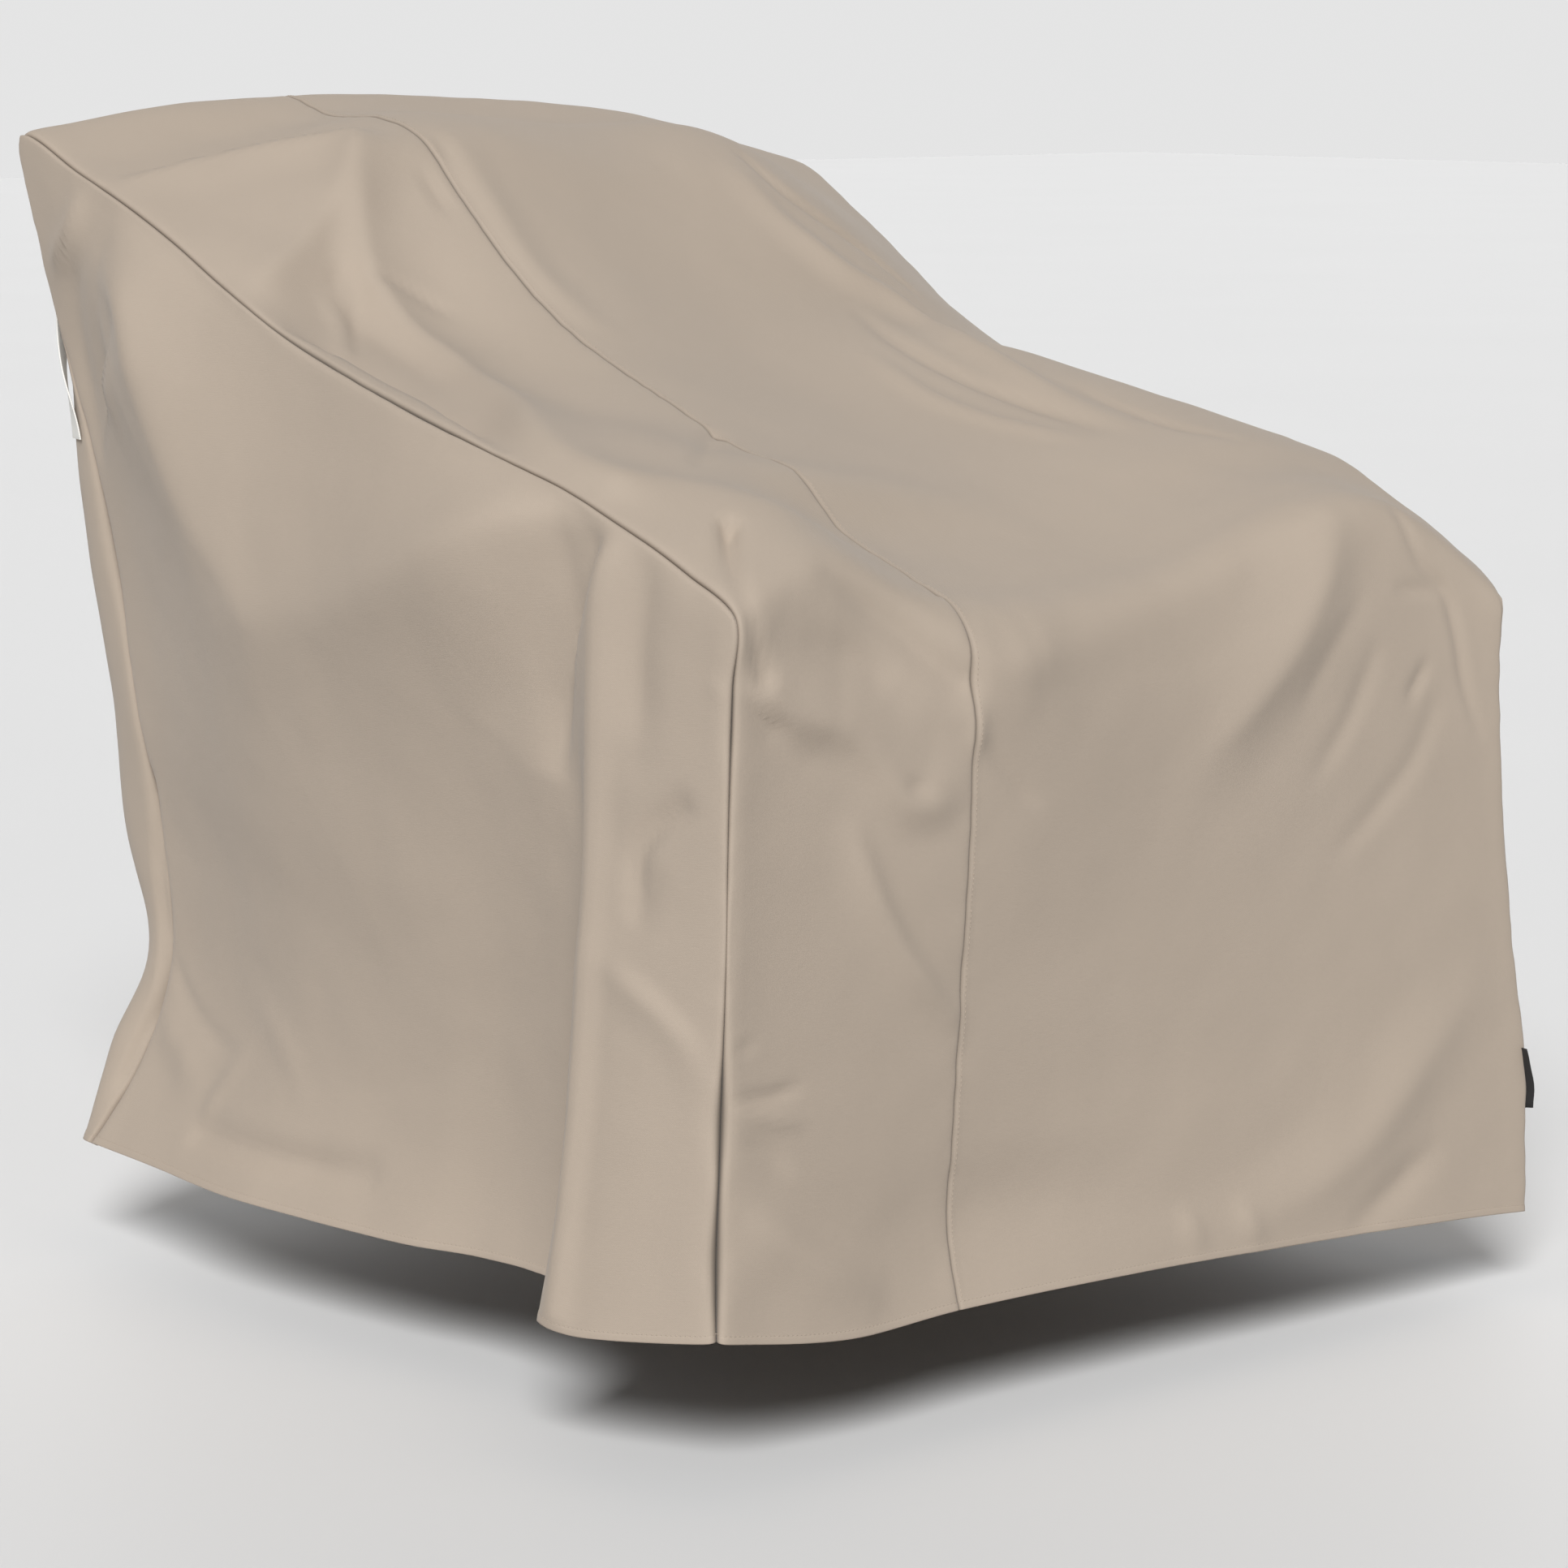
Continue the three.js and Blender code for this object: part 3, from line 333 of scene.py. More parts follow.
    ("back middle fold", "run",
     ((20, 508, 260), (0, 506, 120), (15, 502, 0)), 60, 50, 9, 12, 0.2, 1),
    # Folds of the far side
    ("far side trough", "far",
     ((474, 250, 720), (474, 60, 470), (476, -60, 150)), 120, 120, -18, 22, 0.4, 0.4),
    ("far side swag", "far",
     ((474, -340, 560), (474, -60, 530), (474, 300, 640)), 0, 260, 34, 20, 0.5, 0.7),
    ("far side rear rib", "far",
     ((474, 330, 760), (472, 300, 540), (474, 320, 240)), 60, 50, 14, 8, 0.3, 0.3),
    ("far side pleat", "far",
     ((474, -360, 560), (478, -330, 300), (484, -340, 0)), 44, 60, 14, 6, 0.3, 1),
    ("far side low fold", "far",
     ((474, 120, 330), (478, 140, 160), (482, 120, -10)), 50, 60, 11, 8, 0.2, 1),
)

# How a fold is laid: the steps along its way, the share of the way over which each
# end fades, how far off its way the cloth may lie, the width beside a seam where it
# dies out, and for a fold that spreads evenly, its widest reach and how fast it falls
# and how sharply it gives way to another
FOLD_STEPS = 64
FOLD_RUN_OUT = 0.35
OFF_WAY = 15
SEAM_HOLD = 22
WIDEST = 420
EVEN_FALL = 1.4
EVEN_JOIN = 4
TINY = 0.01

# Rows of the mesh: distances in millimetres from a hem and from a seam, which get
# closer rows than the open cloth between them
HEM_ROWS = (0, 1.2, 3, 4.8, 6, 6.6, 7.2, 8.2, 10.5, 14)
SEAM_ROWS = (0, 1.2, 2.6, 4.4, 7.2, 11)
OPEN_ROW = 7.2


def curve_through(keys, rows, at):
    """A smooth curve through rows of numbers, whose keys rise from row to row."""
    keys = np.asarray(keys, float)
    rows = np.asarray(rows, float)
    gaps = np.diff(keys)[:, None]
    after = np.diff(rows, axis=0) / gaps
    slopes = np.empty_like(rows)
    slopes[1:-1] = (after[:-1] * gaps[1:] + after[1:] * gaps[:-1]) / (gaps[:-1] + gaps[1:])
    slopes[0] = 1.5 * after[0] - 0.5 * slopes[1]
    slopes[-1] = 1.5 * after[-1] - 0.5 * slopes[-2]
    at = np.asarray(at, float)
    i = np.clip(np.searchsorted(keys, at, side="right") - 1, 0, len(keys) - 2)
    h = gaps[i]
    t = (at - keys[i])[..., None] / h
    a = 2 * t**3 - 3 * t**2 + 1
    b = t**3 - 2 * t**2 + t
    c = 3 * t**2 - 2 * t**3
    d = t**3 - t**2
    return a * rows[i] + b * h * slopes[i] + c * rows[i + 1] + d * h * slopes[i + 1]


def mix(a, b, share):
    """The number a share of the way from a to b."""
    return a + (b - a) * share


def straight_between(keys, rows, at):
    """Rows of three numbers, read off in straight lines between their rising keys."""
    return np.stack([np.interp(at, keys, rows[:, k]) for k in range(3)], axis=1)


def line_points(line):
    """One lengthwise line, from the front hem over the top to the back hem."""

    def sideways(row, middle):
        edges = dict(near=-SIDE - row["nearOut"], far=SIDE + row["farOut"])
        return edges.get(line, middle)

    first, last = TOP[0], TOP[-1]
    front_edge = -END - FRONT[-1][line]
    points = []
    for row in FRONT:
        x = sideways(row, LINE_X.get(line))
        z = mix(FRONT_HEM[line], first[line], row["share"])
        points.append((x, -END - row[line], z))
    for row in TOP[1:]:
        share = (row["y"] - first["y"]) / (last["y"] - first["y"])
        front_shift = (front_edge - first["y"]) * (1 - share) ** 3
        back_shift = (BACK_EDGE_Y[line] - last["y"]) * share**3
        x = row["farArmX"] if line == "farArm" else LINE_X.get(line)
        points.append((sideways(row, x), row["y"] + front_shift + back_shift, row[line]))
    for row in BACK:
        x = dict(LINE_X, arm=row["armX"], farArm=FAR_ARM_BACK_X).get(line)
        z = mix(BACK_HEM[line], last[line], row["share"])
        points.append((sideways(row, x), END + row[line], z))
    return np.array(points, float)


def lengths_along(points):
    """The length of the way along a line to each of its points."""
    steps = np.linalg.norm(np.diff(points, axis=0), axis=1)
    return np.concatenate([[0], np.cumsum(steps)])


def shares_along(points):
    """The share of the way along a line at each of its points."""
    lengths = lengths_along(points)
    return lengths / lengths[-1]


LINES_OVER = np.array([line_points(line) for line in LINES])
ALONG = np.mean([shares_along(points) for points in LINES_OVER], axis=0)
FRONT_EDGE = ALONG[len(FRONT) - 1]
BACK_EDGE = ALONG[len(FRONT) + len(TOP) - 2]
ACROSS_KEYS = [ACROSS[line] for line in LINES]
FRONT_HEIGHT = TOP[0]["near"] - FRONT_HEM["near"]
BACK_HEIGHT = TOP[-1]["near"] - BACK_HEM["near"]
RUN_LENGTH = np.mean([lengths_along(points)[-1] for points in LINES_OVER])


def spaced(length, first, last, step):
    """Shares of a length, with close rows at both ends and even ones between."""
    start = np.array(first, float)
    end = length - np.array(last, float)[::-1]
    count = max(2, round((end[0] - start[-1]) / step))
    between = np.linspace(start[-1], end[0], count + 1)[1:-1]
    return np.concatenate([start, between, end]) / length


# The front, the back and the sides between them have the same count of rows, so the
# open row has its size at a height between the front's and the back's
BACK_SHARE = 0.45
EVEN_HEIGHT = mix(FRONT_HEIGHT, BACK_HEIGHT, BACK_SHARE)
FRONT_ROW = OPEN_ROW * FRONT_HEIGHT / EVEN_HEIGHT
UPRIGHT_COUNT = len(spaced(FRONT_HEIGHT, HEM_ROWS, SEAM_ROWS, FRONT_ROW))


def upright_shares(height):
    """Shares of a height from hem to top seam, always the same count of rows."""
    start = np.array(HEM_ROWS) / height
    end = 1 - np.array(SEAM_ROWS)[::-1] / height
    between = UPRIGHT_COUNT - len(start) - len(end)
    return np.concatenate([start, np.linspace(start[-1], end[0], between + 2)[1:-1], end])


TOP_SHARES = spaced(DEPTH, SEAM_ROWS, SEAM_ROWS, OPEN_ROW)
STRIP_SHARES = ACROSS["seam"] * spaced(STRIP_WIDTH, SEAM_ROWS, SEAM_ROWS, OPEN_ROW)
MAIN_SHARES = mix(ACROSS["seam"], 1, spaced(MAIN_WIDTH, SEAM_ROWS, SEAM_ROWS, OPEN_ROW))
FRONT_PLACES = FRONT_EDGE * upright_shares(FRONT_HEIGHT)
TOP_PLACES = mix(FRONT_EDGE, BACK_EDGE, TOP_SHARES)
BACK_PLACES = mix(BACK_EDGE, 1, 1 - upright_shares(BACK_HEIGHT)[::-1])
RUN_PLACES = np.concatenate([FRONT_PLACES, TOP_PLACES[1:], BACK_PLACES[1:]])
TOP_START = UPRIGHT_COUNT - 1
TOP_END = TOP_START + len(TOP_SHARES) - 1


def line_at(line, place):
    """Points of one lengthwise line at places along the run."""
    return curve_through(ALONG, LINES_OVER[LINES.index(line)], place)


def run_grid(widths):
    """Points of the run that goes up the front, over the top and down the back."""
    lines = [line_at(line, RUN_PLACES) for line in LINES]
    flat = np.reshape(lines, (len(LINES), -1))
    grid = curve_through(ACROSS_KEYS, flat, widths)
    return grid.reshape(len(widths), len(RUN_PLACES), 3).transpose(1, 0, 2)


def side_heights(line):
    """Height of a side panel at each of its columns, from front to back."""
    top = line_at(line, TOP_PLACES)[:, 2]
    return mix(FRONT_HEIGHT, BACK_HEIGHT, (top - top[0]) / (top[-1] - top[0]))


def side_shares(line):
    """Shares of a side panel's depth and of its height, at each of its points."""
    v = np.array([upright_shares(height) for height in side_heights(line)])
    return np.broadcast_to(TOP_SHARES[:, None], v.shape), v


def side_grid(line, hem_rows, outwards):
    """Points of a side panel, between its hem, its top seam and its corner seams."""
    u, v = side_shares(line)
    front = line_at(line, FRONT_EDGE * v)
    back = line_at(line, mix(1, BACK_EDGE, v))
    top = line_at(line, TOP_PLACES)[:, None]
    corners = line_at(line, np.array([0, FRONT_EDGE, 1, BACK_EDGE]))
    hem_line = [corners[0]]
    hem_line += [(outwards * (SIDE + row["out"]), row["y"], row["z"]) for row in hem_rows]
    hem_line.append(corners[2])
    keys = [0, *(row["share"] for row in hem_rows), 1]
    hem = curve_through(keys, hem_line, TOP_SHARES)[:, None]
    u, v = u[..., None], v[..., None]
    low = mix(corners[0], corners[2], u)
    high = mix(corners[1], corners[3], u)
    return mix(hem, top, v) + mix(front, back, u) - mix(low, high, v)


def unit(vectors):
    """Vectors of length 1."""
    return vectors / np.linalg.norm(vectors, axis=-1, keepdims=True)


def directions(grid, turn):
    """Directions square to a grid; turn is 1 or -1, so that they point outwards."""
    return turn * unit(np.cross(np.gradient(grid, axis=1), np.gradient(grid, axis=0)))


# How far from a seam the outward directions still turn towards those of the seam
TURN_REACH = 30


def ease_to(out, shared, distance):
    """Turns directions towards those shared at a seam, within reach of the seam."""
    weight = np.exp(-((distance / TURN_REACH) ** 2))[..., None]
    return unit(mix(out, shared, weight))


def fold_line(fold):
    """Points along a fold, on a curve through its places."""
    way = np.array(fold["way"], float)
    at = np.linspace(0, 1, FOLD_STEPS + 1)
    if len(way) == 2:
        return mix(way[0], way[1], at[:, None])
    return curve_through(shares_along(way), way, at)


def fold_fade(fold, share):
    """The part of a fold's height that it has at a share of its way."""

    def towards_end(least, away):
        return mix(least, 1, np.sin(np.pi / 2 * np.clip(away / FOLD_RUN_OUT, 0, 1)))

    return towards_end(fold["first"], share) * towards_end(fold["last"], 1 - share)


def fall_off(distance, spread, edge):
    """How a fold's height falls off to one side: in a curve that ends at its spread,
    or with a spread of 0 evenly as far as the panel's seam."""
    if spread:
        return np.clip(1 - distance / spread, 0, 1) ** 2
    even = (edge / (edge + distance + TINY)) ** EVEN_FALL
    return even * np.clip(1 - (distance / WIDEST) ** 2, 0, 1)


def fold_rise(fold, line, points, out, edge):
    """Height of one fold at points near its line, with their outward directions and
    their distances to the panel's outer seams."""
    steps = np.diff(line, axis=0)
    offset = points[:, None] - line[:-1]
    t = np.clip((offset * steps).sum(-1) / (steps**2).sum(-1), 0, 1)
    gap = offset - t[..., None] * steps
    k = np.linalg.norm(gap, axis=-1).argmin(axis=1)
    rows = np.arange(len(points))
    gap, ahead = gap[rows, k], steps[k]
    off = np.clip((gap * out).sum(-1), -OFF_WAY, OFF_WAY)
    gap = gap - out * off[:, None]
    distance = np.linalg.norm(gap, axis=-1)
    leftwards = unit(np.cross(out, ahead))
    lean = 0.5 + 0.5 * (gap * leftwards).sum(-1) / np.maximum(distance, TINY)
    from_crest = np.sqrt(distance**2 + fold["tip"] ** 2) - fold["tip"]
    right = fall_off(from_crest, fold["right"], edge)
    left = fall_off(from_crest, fold["left"], edge)
    share = (k + t[rows, k]) / FOLD_STEPS
    return fold["rise"] * fold_fade(fold, share) * mix(right, left, lean)


def fold_heights(points, out, edge, panels):
    """Height of all folds on the named panels, at points with their outward directions
    and their distances to the panel's outer seams."""
    height = np.zeros(len(points))
    swell = np.zeros(len(points))
    held = 1 - np.exp(-((edge / SEAM_HOLD) ** 2))
    for fold in FOLDS:
        if fold["on"] not in panels:
            continue
        line = fold_line(fold)
        even = not (fold["left"] and fold["right"])
        reach = max(fold["left"], fold["right"], WIDEST * even) + fold["tip"] + OFF_WAY
        inside = (points > line.min(axis=0) - reach) & (points < line.max(axis=0) + reach)
        near = np.flatnonzero(inside.all(axis=1))
        if not len(near):
            continue
        rise = fold_rise(fold, line, points[near], out[near], edge[near])
        if fold["on"] != "all":
            rise = rise * held[near]
        if even:
            swell[near] += rise**EVEN_JOIN
        else:
            height[near] += rise
    return height + swell ** (1 / EVEN_JOIN)


# The cloth's unevenness: its waves, the puckers along the seams with the reach of
# their height and where they end, and each pattern's own shift and stretch
BROAD_WAVE = dict(size=170, height=2.0, shift=0, stretch=(1, 1, 1))
SMALL_WAVE = dict(size=48, height=0.8, shift=900, stretch=(1, 1, 1))
PUCKER = dict(size=17, height=1.3, shift=400, stretch=(1, 1, 0.8), reach=11, end=55)

# The groove of the lengthwise seam, the deeper one of the seams round the sides, which
# deepens by a power of how wide it stands open, and the cloth's puff beside it
LAP_DIP = dict(depth=1.6, reach=2.2)
EDGE_DIP = dict(depth=8.5, reach=2.0, power=0.3)
EDGE_PUFF = dict(height=1.8, reach=12)

# Where the seams round the sides stand open: how far along them and how much wider
SEAM_GAPS = table(
    "place reach wider",
    ((-478, 50, 787), 75, 2.0),
    ((-477, -80, 750), 70, 1.5),
    ((-463, -500, 530), 45, 0.8),
    ((-468, -498, 350), 70, -0.7),
    ((-474, -498, 200), 40, 1.9),
    ((-477, -497, 90), 45, 1.7),
    ((-411, 426, 190), 75, 2.4),
    ((-420, 432, 360), 50, 1.0),
    ((-440, 454, 590), 60, 2.0),
    ((478, -470, 330), 80, 0.6),
)

# Painted shade in the grooves of the seams round the sides and of the lengthwise seam:
# how dark it makes the cloth's colour and how far from them it reaches
EDGE_PAINTED_SHADE = dict(reach=1.4, share=0.55, most=0.95)
LAP_PAINTED_SHADE = dict(reach=1.3, share=0.6)

# The hem's turned-in cloth and the lap of the lengthwise seam: how far they reach, how
# much they lift the cloth over them, how soft their ends are and where their stitches
# run. The hem's stitches draw in a groove.
HEM_FOLD = dict(reach=7.4, lift=0.5, soft=1.6, stitches=6.6, groove=0.45, groove_width=0.8)
LAP = dict(reach=5.4, lift=0.5, soft=1.2, start=0.8, stitches=4.4)

# The distance from the lap that counts for the side panels, which don't reach it
FAR_FROM_LAP = 1000.0


def wave(points, kind):
    """Smooth unevenness of a kind, to about its height over and under 0."""
    places = (points * kind["stretch"] + kind["shift"]) / kind["size"]
    return kind["height"] * np.array([noise.noise(Vector(place)) for place in places.tolist()])


def layer_end(distance, layer):
    """1 where a turned-in layer lies under the cloth and 0 past its soft end."""
    return np.clip((layer["reach"] + layer["soft"] / 2 - distance) / layer["soft"], 0, 1)


def seam_widths(points):
    """How much wider than usual the seams round the sides stand open near each point."""
    wider = np.ones(len(points))
    for gap in SEAM_GAPS:
        away = np.linalg.norm(points - gap["place"], axis=1) / gap["reach"]
        wider += gap["wider"] * np.exp(-(away**2))
    return wider


def painted_seam_shades(edge, lap, wider):
    """How much painted shade lies in the seams' grooves, more where they stand open: 1 for most."""
    share = np.clip(EDGE_PAINTED_SHADE["share"] * wider, 0, EDGE_PAINTED_SHADE["most"])
    edges = share * np.exp(-((edge / EDGE_PAINTED_SHADE["reach"] / wider) ** 2))
    return np.maximum(edges, LAP_PAINTED_SHADE["share"] * np.exp(-((lap / LAP_PAINTED_SHADE["reach"]) ** 2)))


def small_heights(points, edge, lap, hem, wider):
    """Unevenness, seams, puckers and hem, by the distances to the panel's outer seams,
    to the lengthwise seam and to the hem."""
    height = wave(points, BROAD_WAVE) + wave(points, SMALL_WAVE)
    seam = np.minimum(edge, lap)
    close = seam < PUCKER["end"]
    height[close] += wave(points[close], PUCKER) * np.exp(-seam[close] / PUCKER["reach"])
    height -= LAP_DIP["depth"] * np.exp(-lap / LAP_DIP["reach"])
    deepest = EDGE_DIP["depth"] * wider ** EDGE_DIP["power"]
    height -= deepest * np.exp(-edge / EDGE_DIP["reach"] / wider)
    puff = edge / EDGE_PUFF["reach"]
    height += EDGE_PUFF["height"] * puff * np.exp(1 - puff)
    step = layer_end(hem, HEM_FOLD)
    height += HEM_FOLD["lift"] * step**2 * (3 - 2 * step)
    groove = ((hem - HEM_FOLD["stitches"]) / HEM_FOLD["groove_width"]) ** 2
    height -= HEM_FOLD["groove"] * np.exp(-groove)
    return height


def hem_distances():
    """How far each row of the run is from its hem. Those of the top count as far away."""
    distances = np.full(len(RUN_PLACES), float(DEPTH))
    distances[: TOP_START + 1] = FRONT_PLACES / FRONT_EDGE * FRONT_HEIGHT
    distances[TOP_END:] = (1 - BACK_PLACES) / (1 - BACK_EDGE) * BACK_HEIGHT
    return distances


def side_panel(line, hem_rows, outwards, run_out):
    """A side panel before its folds, and the outward directions that it shares with the
    run along their seam. run_out is the run's directions there."""
    grid = side_grid(line, hem_rows, outwards)
    out = directions(grid, -outwards)
    heights = side_heights(line)[:, None]
    u, v = side_shares(line)
    front = unit(run_out[: TOP_START + 1] + out[0])
    top = unit(run_out[TOP_START : TOP_END + 1] + out[:, -1])
    back = unit(run_out[TOP_END:][::-1] + out[-1])
    shared = np.concatenate([front, top[1:], back[::-1][1:]])
    shared[TOP_START] = unit(front[-1] + top[0])
    shared[TOP_END] = unit(back[-1] + top[-1])
    out = ease_to(out, shared[: TOP_START + 1][None], u * DEPTH)
    out = ease_to(out, shared[TOP_END:][::-1][None], (1 - u) * DEPTH)
    out = ease_to(out, shared[TOP_START : TOP_END + 1, None], (1 - v) * heights)
    edge = np.minimum(np.minimum(u, 1 - u) * DEPTH, (1 - v) * heights)
    lap = np.full(edge.shape, FAR_FROM_LAP)
    uv = np.stack([u * DEPTH, v * heights], axis=-1)
    return dict(grid=grid, out=out, edge=edge, lap=lap, hem=v * heights, uv=uv), shared


def lay_folds(name, panel):
    """Gives a panel its points in metres, lifted by folds and seams, and its painted shade."""
    points = panel["grid"].reshape(-1, 3)
    out = panel["out"].reshape(-1, 3)
    edge, lap, hem = [panel[key].ravel() for key in ("edge", "lap", "hem")]
    on = ("all", "run") if name in ("strip", "main") else ("all", name)
    wider = seam_widths(points)
    height = fold_heights(points, out, edge, on) + small_heights(points, edge, lap, hem, wider)
    if name == "main":
        height += LAP["lift"] * layer_end(lap, LAP) * np.clip(lap / LAP["start"], 0, 1)
    points = points + out * height[:, None]
    panel["points"] = ((points + PLACE) * MM).reshape(panel["grid"].shape)
    panel["uv"] = panel["uv"] * MM
    # Painted shade in the seams' grooves, which darkens the cloth's colour there
    panel["shade"] = painted_seam_shades(edge, lap, wider)


@functools.cache
def draped():
    """The four panels: their points in metres, outward directions and UV places."""
    widths = np.concatenate([STRIP_SHARES, MAIN_SHARES[1:]])
    run = run_grid(widths)
    out = directions(run, 1)
    across = np.broadcast_to(widths * WIDTH, run.shape[:2])
    near, shared = side_panel("near", NEAR_HEM, -1, out[:, 0])
    out = ease_to(out, shared[:, None], across)
    far, shared = side_panel("far", FAR_HEM, 1, out[:, -1])
    out = ease_to(out, shared[:, None], WIDTH - across)
    lap = np.abs(across - ACROSS["seam"] * WIDTH)
    edge = np.minimum(across, WIDTH - across)
    hem = np.broadcast_to(hem_distances()[:, None], across.shape)
    uv = np.stack(np.broadcast_arrays(across, RUN_PLACES[:, None] * RUN_LENGTH), axis=-1)
    whole = dict(grid=run, out=out, edge=edge, lap=lap, hem=hem, uv=uv)
    seam_column = len(STRIP_SHARES) - 1
    panels = dict(
        strip={key: values[:, : seam_column + 1] for key, values in whole.items()},
        main={key: values[:, seam_column:] for key, values in whole.items()},
        near=near,
        far=far,
    )
    for name, panel in panels.items():
        lay_folds(name, panel)
    return panels


# Names of the UV map and of the attribute that a piece carries for its material; the
# attribute holds the painted shade of the seams
UV_MAP = "cloth"
PAINTED_SHADE_ATTRIBUTE = "seam_shade"


class Value:
    """A number in a shader, so that sums and products of it add their nodes."""

    def __init__(self, shader, socket):
        self.shader = shader
        self.socket = socket

    def maths(self, operation, *values):
        return self.shader.value("ShaderNodeMath", dict(operation=operation), *values)

    def __add__(self, other):
        return self.maths("ADD", self, other)

    def __sub__(self, other):
        return self.maths("SUBTRACT", self, other)

    def __rsub__(self, other):
        return self.maths("SUBTRACT", other, self)

    def __mul__(self, other):
        return self.maths("MULTIPLY", self, other)

    def sine(self):
        return self.maths("SINE", self)

    def clamped(self):
        return self.maths("MINIMUM", self.maths("MAXIMUM", self, 0.0), 1.0)

    __radd__ = __add__
    __rmul__ = __mul__


class Shader:
    """A material or world made of nodes, with one method that adds any node."""

    def __init__(self, owner, shader="Principled BSDF", **constants):
        self.owner = owner
        owner.use_nodes = True
        self.tree = owner.node_tree
        self.surface = self.tree.nodes[shader]
        self.feed_named(self.surface, constants)

    def node(self, kind, settings, *inputs, **named):
        """Adds a node: its settings first, then the values or links of its sockets."""
        made = self.tree.nodes.new(kind)
        for name, setting in settings.items():
            setattr(made, name, setting)
        for socket, given in zip(made.inputs, inputs):
            self.feed(socket, given)
        self.feed_named(made, named)
        return made

    def feed(self, socket, given):
        """Links or sets one socket."""
        if isinstance(given, Value):
            given = given.socket
        if isinstance(given, bpy.types.NodeSocket):
            self.tree.links.new(given, socket)
        else:
            socket.default_value = given

    def feed_named(self, node, named):
        """Links or sets sockets of a node by their names, with _ for a space."""
        for name, given in named.items():
            self.feed(node.inputs[name.replace("_", " ")], given)

    def value(self, kind, settings, *inputs, output=0, **named):
        """Adds a node and returns one of its outputs as a number."""
        return Value(self, self.node(kind, settings, *inputs, **named).outputs[output])

    def places(self, scale=(1, 1, 1)):
        """The piece's own UV map in metres, multiplied by a scale."""
        uv = self.node("ShaderNodeUVMap", dict(uv_map=UV_MAP)).outputs[0]
        settings = dict(operation="MULTIPLY")
        return self.node("ShaderNodeVectorMath", settings, uv, scale).outputs[0]

    def object_places(self):
        """Places in the piece's own Object coordinates."""
        return self.node("ShaderNodeTexCoord", {}).outputs["Object"]

    def threads(self, pitch):
        """Angles that turn once for each pitch across the cloth and along it."""
        made = self.node("ShaderNodeSeparateXYZ", {}, self.places((math.tau / pitch,) * 3))
        return [Value(self, socket) for socket in made.outputs[:2]]

    def noise(self, vector, scale, detail):
        """Soft noise between 0 and 1."""
        sockets = dict(Vector=vector, Scale=scale, Detail=detail)
        return self.value("ShaderNodeTexNoise", dict(noise_dimensions="3D"), **sockets)

    def blend(self, share, low, high):
        """A colour a share of the way between two colours."""
        made = self.node("ShaderNodeMix", dict(data_type="RGBA", clamp_factor=True))
        for socket, given in ((0, share), (6, low), (7, high)):
            self.feed(made.inputs[socket], given)
        return made.outputs[2]

    def tones(self, share, colour, factors):
        """A colour that varies between two factors of its brightness."""
        low, high = [shade(colour, factor) for factor in factors]
        return self.blend(share, low, high)

    def bump(self, height, distance, strength):
        """A bump of a height between 0 and 1 times a distance in metres."""
        sockets = dict(Strength=strength, Distance=distance, Height=height)
        return self.node("ShaderNodeBump", {}, **sockets).outputs[0]

    def finish(self, **links):
        """Links what changes over the surface to the surface shader."""
        self.feed_named(self.surface, links)
        return self.owner


def shade(colour, factor):
    """A colour made lighter or darker."""
    return (*[min(1, part * factor) for part in colour], 1)


# Finishes: how often a pattern comes in a metre, the factors between which the colour
# varies, the factor of the painted shade in the seams, the least roughness, and the
# height of the bump in metres, which for woven tape is a share of its rib
CLOTH = dict(slubs=(90, 1400, 1), clouds=5.5, crinkles=60, roughness=0.74)
CLOTH_COLOUR = dict(tones=(0.93, 1.07), seam=0.25)
CLOTH_BUMP = dict(distance=0.0006, strength=0.7)
THREAD = dict(twists=2500, tones=(0.85, 1.1), roughness=0.55)
WOVEN = dict(fuzz=900, tones=(0.82, 1.08), bump=0.3, strength=0.8)
WEBBING = dict(rib=0.0022, roughness=0.5)
TAPE = dict(rib=0.0009, roughness=0.45)


@functools.cache
def cloth_material():
    """Coated polyester in a fine plain weave, soft and matt."""
    sizes = bpy.context.scene.chair_cover
    shader = Shader(
        bpy.data.materials.new("cover_cloth"),
        Sheen_Weight=0.12,
        Sheen_Roughness=0.45,
        Specular_IOR_Level=0.32,
    )
    warp, weft = shader.threads(sizes.thread_pitch)
    weave = (warp.sine() * weft.sine()) * 0.5 + 0.5
    plain = shader.places()
    slubs = shader.noise(shader.places(CLOTH["slubs"]), 1, 2)
    clouds = shader.noise(plain, CLOTH["clouds"], 3)
    crinkles = shader.noise(plain, CLOTH["crinkles"], 4)
    tone = (clouds * 0.5 + slubs * 0.3 + weave * 0.2).clamped()
    colour = shader.tones(tone, sizes.cloth_colour, CLOTH_COLOUR["tones"])
    # Painted shade in the seams' grooves: the colour darkens where the attribute is high
    settings = dict(attribute_name=PAINTED_SHADE_ATTRIBUTE)
    painted_shade = shader.value("ShaderNodeAttribute", settings, output=2)
    colour = shader.blend(painted_shade, colour, shade(sizes.cloth_colour, CLOTH_COLOUR["seam"]))
    roughness = slubs * 0.1 + CLOTH["roughness"]
    bump = shader.bump(weave * 0.25 + slubs * 0.25 + crinkles * 0.5, **CLOTH_BUMP)
    return shader.finish(Base_Color=colour, Roughness=roughness, Normal=bump)


@functools.cache
def thread_material():
    """Sewing thread in the cloth's colour, a little paler."""
    sizes = bpy.context.scene.chair_cover
    shader = Shader(bpy.data.materials.new("sewing_thread"), Specular_IOR_Level=0.4)
    twist = shader.noise(shader.object_places(), THREAD["twists"], 1)
    colour = shader.tones(twist, sizes.thread_colour, THREAD["tones"])
    roughness = twist * 0.15 + THREAD["roughness"]
    return shader.finish(Base_Color=colour, Roughness=roughness)


